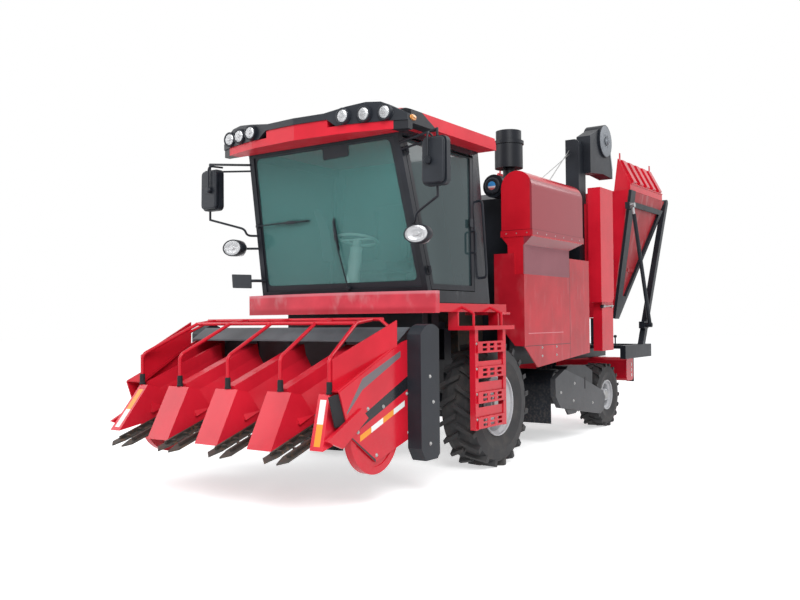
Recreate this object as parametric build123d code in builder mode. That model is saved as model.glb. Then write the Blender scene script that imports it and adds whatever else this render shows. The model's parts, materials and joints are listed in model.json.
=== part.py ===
from build123d import *
from math import atan2, cos, degrees, hypot, radians, sin
import os

# Four-row self-propelled corn harvester, stored parked with its header raised.
# Millimetres, +Z up, front towards -Y, the driver's left towards +X.
# Lengths along the machine are measured from the front axle, heights from the ground.

# Overall reach from the front axle, which sets where that axle stands in the row frame
FRONT_REACH = 3070
BIN_PIVOT_Y = 5730
BOSS_R = 48
REAR_REACH = BIN_PIVOT_Y + BOSS_R
AXLE_Y = (FRONT_REACH - REAR_REACH) / 2
SIDES = {"left": 1, "right": -1}

# Wheels
WHEELBASE = 3700
FRONT_TYRE_R = 632
FRONT_TYRE_W = 378
FRONT_RIM_R = 318
FRONT_TRACK = 2056
FRONT_LUGS = 20
FRONT_LUG_H = 38
FRONT_LUG_T = 48
REAR_TYRE_R = 438
REAR_TYRE_W = 300
REAR_RIM_R = 205
REAR_TRACK = 1572
REAR_LUGS = 18
REAR_LUG_H = 16
REAR_LUG_T = 44
LUG_SLANT = 1.1
SHOULDER = 28
FRONT_SPINDLE_R = 50
REAR_SPINDLE_R = 35
RUN_GAP = 0.05
BEAD_GAP = 0.2

# Chassis
RAIL_X = 420
RAIL_W = 80
RAIL_Z0 = 930
RAIL_H = 140
RAIL_TOP = RAIL_Z0 + RAIL_H
RAIL_FRONT = -350
RAIL_REAR = 4850
AXLE_TUBE_R = 90
KINGPIN_X = 600
KINGPIN_R = 25
KNUCKLE_H = 130
FORK_T = 25
REAR_BEAM = 120

# Header lift: feeder pivot and the two lift cylinders
LIFT_Y = 200
LIFT_Z = 1330
LIFT_PIN_R = 35
FEEDER_HALF = 350
LIFT_CYL_X = 250
LIFT_BASE_Y = -190
LIFT_BASE_Z = 500
LIFT_EYE_Y = -1150
LIFT_EYE_Z = 510
LIFT_BARREL_R = 38
LIFT_ROD_R = 20
LIFT_EYE_R = 34
LIFT_EYE_W = 46
CYL_PIN_R = 18
EAR_T = 16
EAR_GAP = 0.5

# Cab: the windscreen leans forward at its top and the walls lean inwards
CAB_FLOOR_Z0 = 1580
CAB_FLOOR_TOP = 1660
CAB_SILL_Z = 1780
CAB_TOP_Z = 3260
CAB_SILL_HALF = 1047
CAB_TOP_HALF = 935
CAB_SILL_Y = -1100
CAB_TOP_Y = -1420
CAB_REAR_Y = 20
CAB_WALL = 50
CAB_FRONT_T = 60
CAB_BORDER = 60
PANE_T = 6
PANE_GAP = 0.2
WALL_GAP = 0.5
DOOR_GAP = 8
DOOR_HEAD_GAP = 26
DOOR_REAR_Y = -220
DOOR_REAR_LEAN = 0.12
HINGE_OUT = 26
HINGE_PIN_R = 9
ROOF_HALF = 1130
ROOF_FRONT = -1480
ROOF_REAR = 110

# Body behind the cab
SIDE_X = 1200
SHEET = 12
PANEL_FRONT = 584
PANEL_REAR = 2400
CORE_HALF = 800
CORE_FRONT = 1000
CORE_REAR = 2600
CORE_TOP = 3000
ENGINE_HALF = 460
ENGINE_FRONT = 420
ENGINE_REAR = 985
ENGINE_TOP = 2050
SKIRT_Z = 1205
SCREEN_Z0 = 1990
SCREEN_TOP = 2310
SCREEN_REAR = 1790
DOGHOUSE_TOP = 2220
NECK_IN = 1000
INTAKE_IN = 930
INTAKE_OUT = 1300
INTAKE_FRONT = 590
INTAKE_REAR = 1980
INTAKE_FOOT = 2400
INTAKE_TOP = 3120
CLEANER_X = 785
CLEANER_Z = 2995
CLEANER_R = 130
CLEANER_FRONT = 680
TRUNK_X0 = 820
TRUNK_X1 = 1000
TRUNK_REAR = 2830
TRUNK_TOP = 3830
HEAD_Y = 3260
HEAD_Z = 3890
HEAD_R = 218
HEAD_IN = 880
HEAD_OUT = 1120
SPOUT_IN = 905
SPOUT_OUT = 1095
SPOUT_TIP_Y = 3555
SPOUT_TIP_Z = 3420
DUCT_X0 = 1080
DUCT_X1 = 1250
DUCT_FRONT = 2690
DUCT_REAR = 3130
DUCT_FOOT = 1710
DUCT_TOP = 3190

# Tipping bin behind: a hopper hung at its rear top edge
BIN_PIVOT_Z = 3320
BIN_TOP_Z = 3330
BIN_LOW_Z = 1500
BIN_TOP_HALF = 1150
BIN_LOW_HALF = 800
BIN_TOP_FRONT = 4050
BIN_TOP_REAR = 5640
BIN_LOW_FRONT = 4270
BIN_LOW_REAR = 4420
BIN_SHEET = 12
BIN_RIB = 40
BIN_PIN_R = 25
POST_X0 = 1090
POST_X1 = 1170
POST_W = 90
POST_FOOT_Y = 4520
BEAM_Z0 = 935
BEAM_TOP = 1120
BEAM_FRONT = 3760
BIN_CYL_X = 1235
BIN_BASE_Y = 4610
BIN_BASE_Z = 1400
BIN_EYE_Y = 3950
BIN_EYE_Z = 3090
BIN_BARREL_R = 28
BIN_ROD_R = 18
BIN_EYE_R = 34
BIN_EYE_W = 62

# Stalk shredder under the belly
SHRED_Y = 2050
SHRED_Z = 540
SHRED_R = 215
SHRED_FRONT = 1570
SHRED_REAR = 3110
SHRED_TOP = 890
SHRED_HALF = 1040
COVER_X1 = 1105
SHRED_SHAFT_R = 30

# Corn header
ROW_PITCH = 600
SNOUT_X = (-ROW_PITCH, 0, ROW_PITCH)
NOSE_HALF = 130
NOSE_BASE_HALF = 190
NOSE_TIP = (-2880, 490)
NOSE_CREST = (-2640, 930)
HOOD_RIDGE_FRONT = (-2600, 955)
HOOD_RIDGE_REAR = (-1700, 1285)
END_CREST_IN = 1017
END_CREST_OUT = 1125
END_TIP_IN = 1120
HEADER_HALF = 1250
HEADER_SHEET = 12
HEADER_REAR = -1450
AUGER_Y = -1690
AUGER_Z = 790
AUGER_TUBE_R = 85
AUGER_R = 165
AUGER_SHAFT_R = 30
TUBE_R = 16
TUBE_FOOT_Y = -2625
FRONT_BAR_Y = -2090
FRONT_BAR_Z = 1480
REAR_BAR_Y = -1850
REAR_BAR_Z = 1510

os.makedirs("parts", exist_ok=True)


def point(x, y, z):
    """A place given from the front axle, moved to the row frame."""
    return Vector(x, y + AXLE_Y, z)


def side_plane(x):
    """Upright plane along the machine: sketch x is length, sketch y is height."""
    return Plane(origin=point(x, 0, 0), x_dir=(0, 1, 0), z_dir=(1, 0, 0))


def cross_plane(y):
    """Upright plane across the machine, facing the front."""
    return Plane(origin=point(0, y, 0), x_dir=(1, 0, 0), z_dir=(0, -1, 0))


def level_plane(z):
    """Level plane, facing up."""
    return Plane(origin=point(0, 0, z), x_dir=(1, 0, 0), z_dir=(0, 0, 1))


def prism(plane, outline, depth, mode=Mode.ADD):
    """Extrudes a closed outline of straight edges from its plane."""
    with BuildSketch(plane) as face:
        with BuildLine():
            Polyline(*outline, close=True)
        make_face()
    extrude(face.sketch, amount=depth, mode=mode)


def block(x_span, y_span, z_span, mode=Mode.ADD):
    """A box between two places on each axis."""
    (x0, x1), (y0, y1), (z0, z1) = sorted(x_span), sorted(y_span), sorted(z_span)
    with BuildSketch(level_plane(z0)) as face:
        with Locations(((x0 + x1) / 2, (y0 + y1) / 2)):
            Rectangle(x1 - x0, y1 - y0)
    extrude(face.sketch, amount=z1 - z0, mode=mode)


def rod(start, end, radius, mode=Mode.ADD):
    """A round bar between two places."""
    path = point(*end) - point(*start)
    with BuildSketch(Plane(origin=point(*start), z_dir=path)) as face:
        Circle(radius)
    extrude(face.sketch, amount=path.length, mode=mode)


def bar(start, end, across, width, depth):
    """A square bar between two places; across is the direction of its width."""
    path = point(*end) - point(*start)
    with BuildSketch(Plane(origin=point(*start), x_dir=across, z_dir=path)) as face:
        Rectangle(width, depth)
    extrude(face.sketch, amount=path.length)


def pipe(points, bend, radius):
    """A bent round tube through places, with rounded corners."""
    places = [point(*place) for place in points]
    with BuildLine() as route:
        FilletPolyline(*places, radius=bend)
    with BuildSketch(Plane(origin=route.line @ 0, z_dir=route.line % 0)) as face:
        Circle(radius)
    sweep(face.sketch, path=route.line)


def trim(corner, along, across, inside):
    """Cuts the piece in work with the plane through three places and keeps the side of the fourth."""
    start = point(*corner)
    x_dir = point(*along) - start
    plane = Plane(origin=start, x_dir=x_dir, z_dir=x_dir.cross(point(*across) - start))
    kept_above = plane.z_dir.dot(point(*inside) - start) > 0
    split(bisect_by=plane, keep=Keep.TOP if kept_above else Keep.BOTTOM)


def save(builder, name):
    """Labels a finished piece and writes its file."""
    builder.part.label = name
    export_step(builder.part, f"parts/{name}.step")


# Chassis frame: two rails, cross members, axle seats, stands for the cab and stands that bear the feeder pivot
CROSS_MEMBERS_Y = (620, 1300, 2350, 3150, 3900)
STAND_HALF = 70
STAND_TOPS = ((-270, CAB_FLOOR_Z0), (CAB_REAR_Y - STAND_HALF, CAB_FLOOR_Z0), (LIFT_Y, LIFT_Z + LIFT_PIN_R * 2))
with BuildPart() as chassis_frame:
    for side in SIDES.values():
        x_in = side * (RAIL_X - RAIL_W / 2)
        x_out = side * (RAIL_X + RAIL_W / 2)
        block((x_in, x_out), (RAIL_FRONT, RAIL_REAR), (RAIL_Z0, RAIL_TOP))
        block((x_in, x_out), (-110, 110), (FRONT_TYRE_R + AXLE_TUBE_R * 0.9, RAIL_Z0))
        for y, top in STAND_TOPS:
            block((x_in, x_out), (y - STAND_HALF, y + STAND_HALF), (RAIL_TOP, top))
        rod((x_out, LIFT_Y, LIFT_Z), (side * (FEEDER_HALF - 15), LIFT_Y, LIFT_Z), LIFT_PIN_R)
        for y in (-1, 1):
            face_y = WHEELBASE + y * REAR_BEAM / 2
            block((side * 40, side * 120), (face_y, face_y + y * 25), (380, RAIL_Z0))
    for y in CROSS_MEMBERS_Y:
        block((-RAIL_X, RAIL_X), (y - 40, y + 40), (RAIL_Z0, RAIL_TOP))
    block((-RAIL_X, RAIL_X), (WHEELBASE - 110, WHEELBASE + 110), (RAIL_Z0, RAIL_TOP))
    with BuildSketch(side_plane(-RAIL_X * 2)) as axle_seat:
        with Locations((0, FRONT_TYRE_R)):
            Circle(AXLE_TUBE_R)
    extrude(axle_seat.sketch, amount=RAIL_X * 4, mode=Mode.SUBTRACT)
save(chassis_frame, "chassis_frame")

# Front axle: housing, final drives, spindles and the ears of the lift cylinders
FINAL_DRIVE_X = FRONT_TRACK / 2 - FRONT_TYRE_W / 2 - 30
with BuildPart() as front_axle:
    rod((-FINAL_DRIVE_X, 0, FRONT_TYRE_R), (FINAL_DRIVE_X, 0, FRONT_TYRE_R), AXLE_TUBE_R)
    rod((-150, 0, FRONT_TYRE_R), (150, 0, FRONT_TYRE_R), 170)
    for side in SIDES.values():
        rod((side * (FINAL_DRIVE_X - 110), 0, FRONT_TYRE_R), (side * FINAL_DRIVE_X, 0, FRONT_TYRE_R), 165)
        rod((side * FINAL_DRIVE_X, 0, FRONT_TYRE_R), (side * (FRONT_TRACK / 2 + 40), 0, FRONT_TYRE_R), FRONT_SPINDLE_R)
        for ear in (-1, 1):
            x_in = side * LIFT_CYL_X + ear * (LIFT_EYE_W / 2 + EAR_GAP)
            ear_line = [(-60, FRONT_TYRE_R + 60), (-LIFT_EYE_R + LIFT_BASE_Y, LIFT_BASE_Z + 30),
                        (LIFT_BASE_Y - LIFT_EYE_R, LIFT_BASE_Z - LIFT_EYE_R),
                        (LIFT_BASE_Y + LIFT_EYE_R, LIFT_BASE_Z - LIFT_EYE_R), (-30, FRONT_TYRE_R - 80)]
            prism(side_plane(x_in), ear_line, ear * EAR_T)
        pin_half = LIFT_EYE_W / 2 + EAR_GAP + EAR_T
        rod((side * LIFT_CYL_X - pin_half, LIFT_BASE_Y, LIFT_BASE_Z),
            (side * LIFT_CYL_X + pin_half, LIFT_BASE_Y, LIFT_BASE_Z), CYL_PIN_R)
save(front_axle, "front_axle")

# Rear axle: box beam with a fork and kingpin at each end
FORK_HALF = KNUCKLE_H / 2 + EAR_GAP
with BuildPart() as rear_axle:
    beam_half = REAR_BEAM / 2
    block((-KINGPIN_X + 70, KINGPIN_X - 70), (WHEELBASE - beam_half, WHEELBASE + beam_half),
          (REAR_TYRE_R - beam_half, REAR_TYRE_R + beam_half))
    for side in SIDES.values():
        fork_root = side * (KINGPIN_X - 70)
        block((fork_root, fork_root - side * 40), (WHEELBASE - 60, WHEELBASE + 60),
              (REAR_TYRE_R - FORK_HALF - FORK_T, REAR_TYRE_R + FORK_HALF + FORK_T))
        for end in (-1, 1):
            fork_z = REAR_TYRE_R + end * FORK_HALF
            block((fork_root, side * (KINGPIN_X + 45)), (WHEELBASE - 50, WHEELBASE + 50),
                  (fork_z, fork_z + end * FORK_T))
        rod((side * KINGPIN_X, WHEELBASE, REAR_TYRE_R - FORK_HALF - FORK_T),
            (side * KINGPIN_X, WHEELBASE, REAR_TYRE_R + FORK_HALF + FORK_T), KINGPIN_R)
save(rear_axle, "rear_axle")

# Steering knuckles: a sleeve on the kingpin with the wheel spindle
for name, side in SIDES.items():
    with BuildPart() as knuckle:
        rod((side * KINGPIN_X, WHEELBASE, REAR_TYRE_R - KNUCKLE_H / 2),
            (side * KINGPIN_X, WHEELBASE, REAR_TYRE_R + KNUCKLE_H / 2), 50)
        rod((side * KINGPIN_X, WHEELBASE, REAR_TYRE_R), (side * (REAR_TRACK / 2 + 30), WHEELBASE, REAR_TYRE_R),
            REAR_SPINDLE_R)
        rod((side * KINGPIN_X, WHEELBASE, REAR_TYRE_R - KNUCKLE_H / 2),
            (side * KINGPIN_X, WHEELBASE, REAR_TYRE_R + KNUCKLE_H / 2), KINGPIN_R + RUN_GAP, mode=Mode.SUBTRACT)
    save(knuckle, f"knuckle_{name}")


def wheel_plane(side, x, y, z):
    """Plane through a wheel: sketch x is radius, sketch y runs outwards along its axle."""
    return Plane(origin=point(side * x, y, z), x_dir=(0, 0, 1), z_dir=(0, side, 0))


def tyre(side, x, y, radius, width, rim_r, lug):
    """A tyre: a round carcass and two rows of slanted lugs out to the full radius."""
    lug_count, lug_height, lug_thick = lug
    half = width / 2
    tread_r = radius - lug_height
    wall_r = rim_r + (tread_r - rim_r) * 0.5
    centre = (x, y, radius)
    with BuildSketch(wheel_plane(side, *centre)) as section:
        with BuildLine():
            upper = [(rim_r + BEAD_GAP, half * 0.78), (wall_r, half), (tread_r - SHOULDER, half * 0.93),
                     (tread_r, half * 0.55)]
            Polyline(*upper, *[(r, -across) for r, across in reversed(upper)], close=True)
        make_face()
    axle = Axis(point(side * x, y, radius), (1, 0, 0))
    revolve(section.sketch, axis=axle)
    slant = lug_thick * LUG_SLANT
    corner = slant + lug_thick / 2
    top = (radius ** 2 - corner ** 2) ** 0.5
    root_r = tread_r - 34
    pitch = 360 / lug_count
    phase = degrees(atan2(corner, top))
    for row in (-1, 1):
        for index in range(lug_count):
            angle = radians(phase + index * pitch + (row + 1) * pitch / 4)
            radial = Vector(0, sin(angle), cos(angle))
            foot = point(side * x, y, radius) + radial * root_r
            with BuildSketch(Plane(origin=foot, x_dir=(1, 0, 0), z_dir=radial)) as face:
                with BuildLine():
                    Polyline((-row * 8, slant - lug_thick / 2), (-row * 8, slant + lug_thick / 2),
                             (row * half * 0.97, lug_thick / 2 - slant), (row * half * 0.97, -corner), close=True)
                make_face()
            extrude(face.sketch, amount=top - root_r)


def rim(side, x, y, radius, width, rim_r, spindle_r):
    """A steel disc wheel: flanged barrel, dished disc and hub."""
    half = width * 0.39
    centre = (x, y, radius)
    dish = half * 0.35
    with BuildSketch(wheel_plane(side, *centre)) as section:
        with BuildLine():
            Polyline((spindle_r + RUN_GAP, -dish - 40), (spindle_r + RUN_GAP, dish + 70), (spindle_r + 45, dish + 70),
                     (spindle_r + 50, dish), (rim_r * 0.62, dish - 10), (rim_r * 0.80, dish - 45),
                     (rim_r - 42, dish - 45), (rim_r - 42, half * 0.7), (rim_r - 14, half - 14),
                     (rim_r - 14, half + 14), (rim_r, half + 14), (rim_r, -half - 14), (rim_r - 14, -half - 14),
                     (rim_r - 14, -half + 14), (rim_r - 54, -half * 0.7), (rim_r - 54, dish - 60),
                     (rim_r * 0.76, dish - 60), (rim_r * 0.58, dish - 25), (spindle_r + 50, dish - 25),
                     (spindle_r + 45, -dish - 40), close=True)
        make_face()
    revolve(section.sketch, axis=Axis(point(side * x, y, radius), (1, 0, 0)))


FRONT_WHEEL = (FRONT_TRACK / 2, 0, FRONT_TYRE_R, FRONT_TYRE_W, FRONT_RIM_R)
REAR_WHEEL = (REAR_TRACK / 2, WHEELBASE, REAR_TYRE_R, REAR_TYRE_W, REAR_RIM_R)
with BuildPart() as front_tyre:
    tyre(1, *FRONT_WHEEL, (FRONT_LUGS, FRONT_LUG_H, FRONT_LUG_T))
with BuildPart() as front_rim:
    rim(1, *FRONT_WHEEL, FRONT_SPINDLE_R)
with BuildPart() as rear_tyre:
    tyre(1, *REAR_WHEEL, (REAR_LUGS, REAR_LUG_H, REAR_LUG_T))
with BuildPart() as rear_rim:
    rim(1, *REAR_WHEEL, REAR_SPINDLE_R)
for name, left in (("front_tyre", front_tyre), ("front_rim", front_rim), ("rear_tyre", rear_tyre), ("rear_rim", rear_rim)):
    save(left, f"{name}_left")
    with BuildPart() as right:
        mirror(left.part, about=Plane.YZ)
    save(right, f"{name}_right")

# Cab: floor, leaning front frame, two side walls, rear wall and panes
WALL_LEAN = (CAB_SILL_HALF - CAB_TOP_HALF) / (CAB_TOP_Z - CAB_SILL_Z)
SCREEN_LEAN = (CAB_SILL_Y - CAB_TOP_Y) / (CAB_TOP_Z - CAB_SILL_Z)
WALL_STRETCH = hypot(1, WALL_LEAN)
SCREEN_STRETCH = hypot(1, SCREEN_LEAN)
WALL_FOOT = CAB_FLOOR_TOP + CAB_WALL * WALL_LEAN + WALL_GAP
FRAME_TOP = CAB_TOP_Z - CAB_FRONT_T * SCREEN_LEAN - WALL_GAP
DOOR_TOP = CAB_TOP_Z - CAB_BORDER
CAB_FLOOR_FRONT = CAB_SILL_Y + 26


def cab_half(z):
    """Half width of the cab at a height."""
    return CAB_SILL_HALF - WALL_LEAN * (z - CAB_SILL_Z)


def front_edge(z):
    """Where a side wall meets the back of the leaning front frame."""
    return CAB_SILL_Y - SCREEN_LEAN * (z - CAB_SILL_Z) + CAB_FRONT_T * SCREEN_STRETCH + WALL_GAP * 2


def door_rear(z):
    """Rear edge of the door, which leans like the pillar behind it."""
    return DOOR_REAR_Y + DOOR_REAR_LEAN * (z - CAB_SILL_Z)


SCREEN_PLANE = Plane(origin=point(0, CAB_SILL_Y, CAB_SILL_Z), x_dir=(1, 0, 0), z_dir=(0, -1, -SCREEN_LEAN))
LEFT_WALL_PLANE = Plane(origin=point(CAB_SILL_HALF, 0, CAB_SILL_Z), x_dir=(0, 1, 0), z_dir=(1, 0, WALL_LEAN))


def on_screen(x, z):
    """A place on the leaning screen plane from its side and height."""
    return (x, (z - CAB_SILL_Z) * SCREEN_STRETCH)


def on_wall(y, z):
    """A place on the leaning wall plane from its length and height."""
    return (y, (z - CAB_SILL_Z) * WALL_STRETCH)


with BuildPart() as cab_floor:
    block((-cab_half(CAB_FLOOR_TOP), cab_half(CAB_FLOOR_TOP)), (CAB_FLOOR_FRONT, CAB_REAR_Y + CAB_WALL),
          (CAB_FLOOR_Z0, CAB_FLOOR_TOP))
save(cab_floor, "cab_floor")

SCREEN_LOW = CAB_SILL_Z + 30
SCREEN_HIGH = CAB_TOP_Z - 80
screen_corners = [on_screen(side * (cab_half(z) - CAB_BORDER), z)
                  for side, z in ((-1, SCREEN_LOW), (1, SCREEN_LOW), (1, SCREEN_HIGH), (-1, SCREEN_HIGH))]
hinge_axis = Vector(-WALL_LEAN, -SCREEN_LEAN, 1).normalized()


def hinge_place(z):
    """A place on the door's hinge line, just outside the front pillar."""
    return (cab_half(z) + HINGE_OUT, front_edge(z) - 4, z)


HINGE_Z = (1930, 3020)
HINGE_L = 80
with BuildPart() as cab_front_frame:
    frame_corners = [on_screen(side * cab_half(z), z) for side, z in
                     ((-1, CAB_FLOOR_TOP), (1, CAB_FLOOR_TOP), (1, FRAME_TOP), (-1, FRAME_TOP))]
    prism(SCREEN_PLANE, frame_corners, -CAB_FRONT_T)
    prism(SCREEN_PLANE, screen_corners, -CAB_FRONT_T, mode=Mode.SUBTRACT)
    for z in HINGE_Z:
        x, y, z0 = hinge_place(z)
        tip = Vector(x, y, z0) + hinge_axis * HINGE_L
        rod((x, y, z0), (tip.X, tip.Y, tip.Z), HINGE_PIN_R)
        rod((x, y, z0), (cab_half(z) - 20, front_edge(z) - 30, z), HINGE_PIN_R)
save(cab_front_frame, "cab_front_frame")

REAR_EDGE = CAB_REAR_Y - WALL_GAP
side_outline = [on_wall(y, z) for y, z in
                ((front_edge(WALL_FOOT), WALL_FOOT), (REAR_EDGE, WALL_FOOT),
                 (REAR_EDGE, CAB_TOP_Z), (front_edge(CAB_TOP_Z), CAB_TOP_Z))]
WINDOW_LOW = CAB_SILL_Z + CAB_BORDER
WINDOW_HIGH = CAB_TOP_Z - CAB_BORDER * 1.5
side_window = [on_wall(y, z) for y, z in
               ((front_edge(WINDOW_LOW) + CAB_BORDER, WINDOW_LOW), (REAR_EDGE - CAB_BORDER, WINDOW_LOW),
                (REAR_EDGE - CAB_BORDER, WINDOW_HIGH), (front_edge(WINDOW_HIGH) + CAB_BORDER, WINDOW_HIGH))]
with BuildPart() as side_wall:
    prism(LEFT_WALL_PLANE, side_outline, -CAB_WALL)
    prism(LEFT_WALL_PLANE, side_window, -CAB_WALL, mode=Mode.SUBTRACT)
with BuildPart() as cab_side_right:
    mirror(side_wall.part, about=Plane.YZ)
save(cab_side_right, "cab_side_right")

door_hole = [on_wall(y, z) for y, z in
             ((front_edge(CAB_SILL_Z) - 40, CAB_SILL_Z), (door_rear(CAB_SILL_Z), CAB_SILL_Z),
              (door_rear(DOOR_TOP), DOOR_TOP), (front_edge(DOOR_TOP) - 40, DOOR_TOP))]
with BuildPart() as cab_quarter_left:
    prism(LEFT_WALL_PLANE, side_outline, -CAB_WALL)
    prism(LEFT_WALL_PLANE, door_hole, -CAB_WALL, mode=Mode.SUBTRACT)
save(cab_quarter_left, "cab_quarter_left")

rear_outline = [(-cab_half(CAB_FLOOR_TOP), CAB_FLOOR_TOP), (cab_half(CAB_FLOOR_TOP), CAB_FLOOR_TOP),
                (cab_half(CAB_TOP_Z), CAB_TOP_Z), (-cab_half(CAB_TOP_Z), CAB_TOP_Z)]
REAR_WINDOW_LOW = 2250
rear_window = [(side * (cab_half(z) - 130), z) for side, z in
               ((-1, REAR_WINDOW_LOW), (1, REAR_WINDOW_LOW), (1, WINDOW_HIGH), (-1, WINDOW_HIGH))]
with BuildPart() as cab_rear_wall:
    prism(cross_plane(CAB_REAR_Y + CAB_WALL), rear_outline, CAB_WALL)
    prism(cross_plane(CAB_REAR_Y + CAB_WALL), rear_window, CAB_WALL, mode=Mode.SUBTRACT)
save(cab_rear_wall, "cab_rear_wall")


def pane(plane, corners):
    """A flat pane that fills a cut window."""
    with BuildSketch(plane) as face:
        with BuildLine():
            Polyline(*corners, close=True)
        make_face()
        offset(amount=-PANE_GAP, mode=Mode.REPLACE)
    extrude(face.sketch, amount=-PANE_T)


with BuildPart() as side_pane:
    pane(LEFT_WALL_PLANE.offset(-CAB_WALL / 3), side_window)
with BuildPart() as cab_panes:
    pane(SCREEN_PLANE.offset(-CAB_FRONT_T / 3), screen_corners)
    mirror(side_pane.part, about=Plane.YZ)
    pane(cross_plane(CAB_REAR_Y + CAB_WALL / 2), rear_window)
save(cab_panes, "cab_panes")

# Door on the left, hung on two pins at the front pillar
DOOR_FOOT = CAB_SILL_Z + DOOR_GAP
DOOR_HEAD = DOOR_TOP - DOOR_HEAD_GAP
door_outline = [on_wall(y, z) for y, z in
                ((front_edge(DOOR_FOOT) + DOOR_GAP, DOOR_FOOT), (door_rear(DOOR_FOOT) - DOOR_GAP, DOOR_FOOT),
                 (door_rear(DOOR_HEAD) - DOOR_GAP, DOOR_HEAD), (front_edge(DOOR_HEAD) + DOOR_GAP, DOOR_HEAD))]
door_window = [on_wall(y, z) for y, z in
               ((front_edge(WINDOW_LOW) + CAB_BORDER, WINDOW_LOW), (door_rear(WINDOW_LOW) - CAB_BORDER, WINDOW_LOW),
                (door_rear(WINDOW_HIGH) - CAB_BORDER, WINDOW_HIGH), (front_edge(WINDOW_HIGH) + CAB_BORDER, WINDOW_HIGH))]
SLEEVE_R = 17
SLEEVE_START = 14
with BuildPart() as cab_door:
    prism(LEFT_WALL_PLANE, door_outline, -CAB_WALL)
    prism(LEFT_WALL_PLANE, door_window, -CAB_WALL, mode=Mode.SUBTRACT)
    for z in HINGE_Z:
        x, y, z0 = hinge_place(z)
        foot = Vector(x, y, z0) + hinge_axis * SLEEVE_START
        tip = Vector(x, y, z0) + hinge_axis * HINGE_L
        middle = (foot + tip) / 2
        rod(tuple(foot), tuple(tip), SLEEVE_R)
        rod(tuple(middle), (cab_half(middle.Z) - 12, front_edge(middle.Z) + 48, middle.Z), HINGE_PIN_R)
        rod(tuple(foot), tuple(tip), HINGE_PIN_R + RUN_GAP, mode=Mode.SUBTRACT)
save(cab_door, "cab_door")
with BuildPart() as door_glass:
    pane(LEFT_WALL_PLANE.offset(-CAB_WALL / 3), door_window)
save(door_glass, "door_glass")

# Roof shell with a red visor, and the black brow with two lamp pods over it
ROOF_EDGE_Z = CAB_TOP_Z + 10
POD_HALF = (480, 380)
POD_TOP = CAB_TOP_Z + 80
VISOR_Z0 = CAB_TOP_Z - 65
SHOULDER_Z = CAB_TOP_Z + 120
# Each row: length and height over the cab walls of the roof's ridge line
ROOF_RIDGE = ((ROOF_FRONT, 140), (-1250, 220), (-830, 300), (-300, 270), (ROOF_REAR - 60, 190), (ROOF_REAR, 60))
# Each row: side place and front edge of the brow in plan
BROW_PLAN = ((1145, -1560), (954, -1640), (590, -1735), (0, -1780))
# Each row: side place and height of the brow's top edge, which dips between the two pods
BROW_TOP = ((1145, 70), (920, 185), (780, 195), (350, 140))


def plan_line(inset):
    """The brow's outline in plan, drawn in by an inset at its front."""
    half = [(x, y + inset) for x, y in BROW_PLAN]
    front = half + [(-x, y) for x, y in reversed(half[:-1])]
    reach = BROW_PLAN[0][0]
    return front + [(-reach, ROOF_FRONT), (reach, ROOF_FRONT)]


VISOR_INSET = 12
with BuildPart() as cab_roof:
    roof_line = [(ROOF_FRONT, CAB_TOP_Z)] + [(y, CAB_TOP_Z + rise) for y, rise in ROOF_RIDGE] + [(ROOF_REAR, CAB_TOP_Z)]
    prism(side_plane(-ROOF_HALF), roof_line, ROOF_HALF * 2)
    for side in SIDES.values():
        shoulder = [(side * (ROOF_HALF + 5), SHOULDER_Z), (side * (ROOF_HALF + 5), SHOULDER_Z + 220),
                    (side * 500, SHOULDER_Z + 220)]
        prism(cross_plane(ROOF_REAR + 20), shoulder, ROOF_REAR - ROOF_FRONT + 40, mode=Mode.SUBTRACT)
    prism(level_plane(VISOR_Z0), plan_line(VISOR_INSET), ROOF_EDGE_Z - VISOR_Z0)
    with BuildSketch(level_plane(ROOF_EDGE_Z)) as fascia:
        with BuildLine():
            Polyline(*plan_line(VISOR_INSET), close=True)
        make_face()
        with Locations((0, ROOF_FRONT)):
            Rectangle(POD_HALF[1] * 2, 800, mode=Mode.INTERSECT)
    extrude(fascia.sketch, amount=POD_TOP - ROOF_EDGE_Z)
save(cab_roof, "cab_roof")

LAMP_R = 62
LAMP_SEAT = -1570
LAMP_Z = CAB_TOP_Z + 85
WORK_LAMPS = ((575, -1765), (775, -1715), (965, -1660))
with BuildPart() as roof_brow:
    crown = [(x, CAB_TOP_Z + rise) for x, rise in BROW_TOP]
    arch = crown + [(-x, z) for x, z in reversed(crown)]
    arch += [(-crown[0][0], ROOF_EDGE_Z), (-POD_HALF[0], ROOF_EDGE_Z), (-POD_HALF[1], POD_TOP), (POD_HALF[1], POD_TOP),
             (POD_HALF[0], ROOF_EDGE_Z), (crown[0][0], ROOF_EDGE_Z)]
    prism(cross_plane(ROOF_FRONT), arch, 400)
    prism(level_plane(ROOF_EDGE_Z - 10), plan_line(0), 400, mode=Mode.INTERSECT)
    for x, y in WORK_LAMPS:
        for side in SIDES.values():
            rod((side * x, LAMP_SEAT, LAMP_Z), (side * x, y - 60, LAMP_Z), LAMP_R + PANE_GAP, mode=Mode.SUBTRACT)
save(roof_brow, "roof_brow")

HEADLAMP = (1151, -1434, 2270)
HEADLAMP_R = 85
HEADLAMP_L = 110
with BuildPart() as lamps:
    for side in SIDES.values():
        for x, y in WORK_LAMPS:
            rod((side * x, LAMP_SEAT, LAMP_Z), (side * x, y, LAMP_Z), LAMP_R)
        x, y, z = HEADLAMP
        rod((side * x, y, z), (side * x, y + HEADLAMP_L, z), HEADLAMP_R)
save(lamps, "lamps")

# Mirrors on bent tubes, with the headlamp arm below; the right one is swung further out
MIRROR_TUBE_R = 12
MIRROR_Y = -1480
MIRROR_Z = (2670, 3100)
MIRROR_HALF = 125
MIRROR_T = 62
ARM_ROOT_Z = (3120, 2480)
ARM_Z = (3185, 2590)
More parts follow.
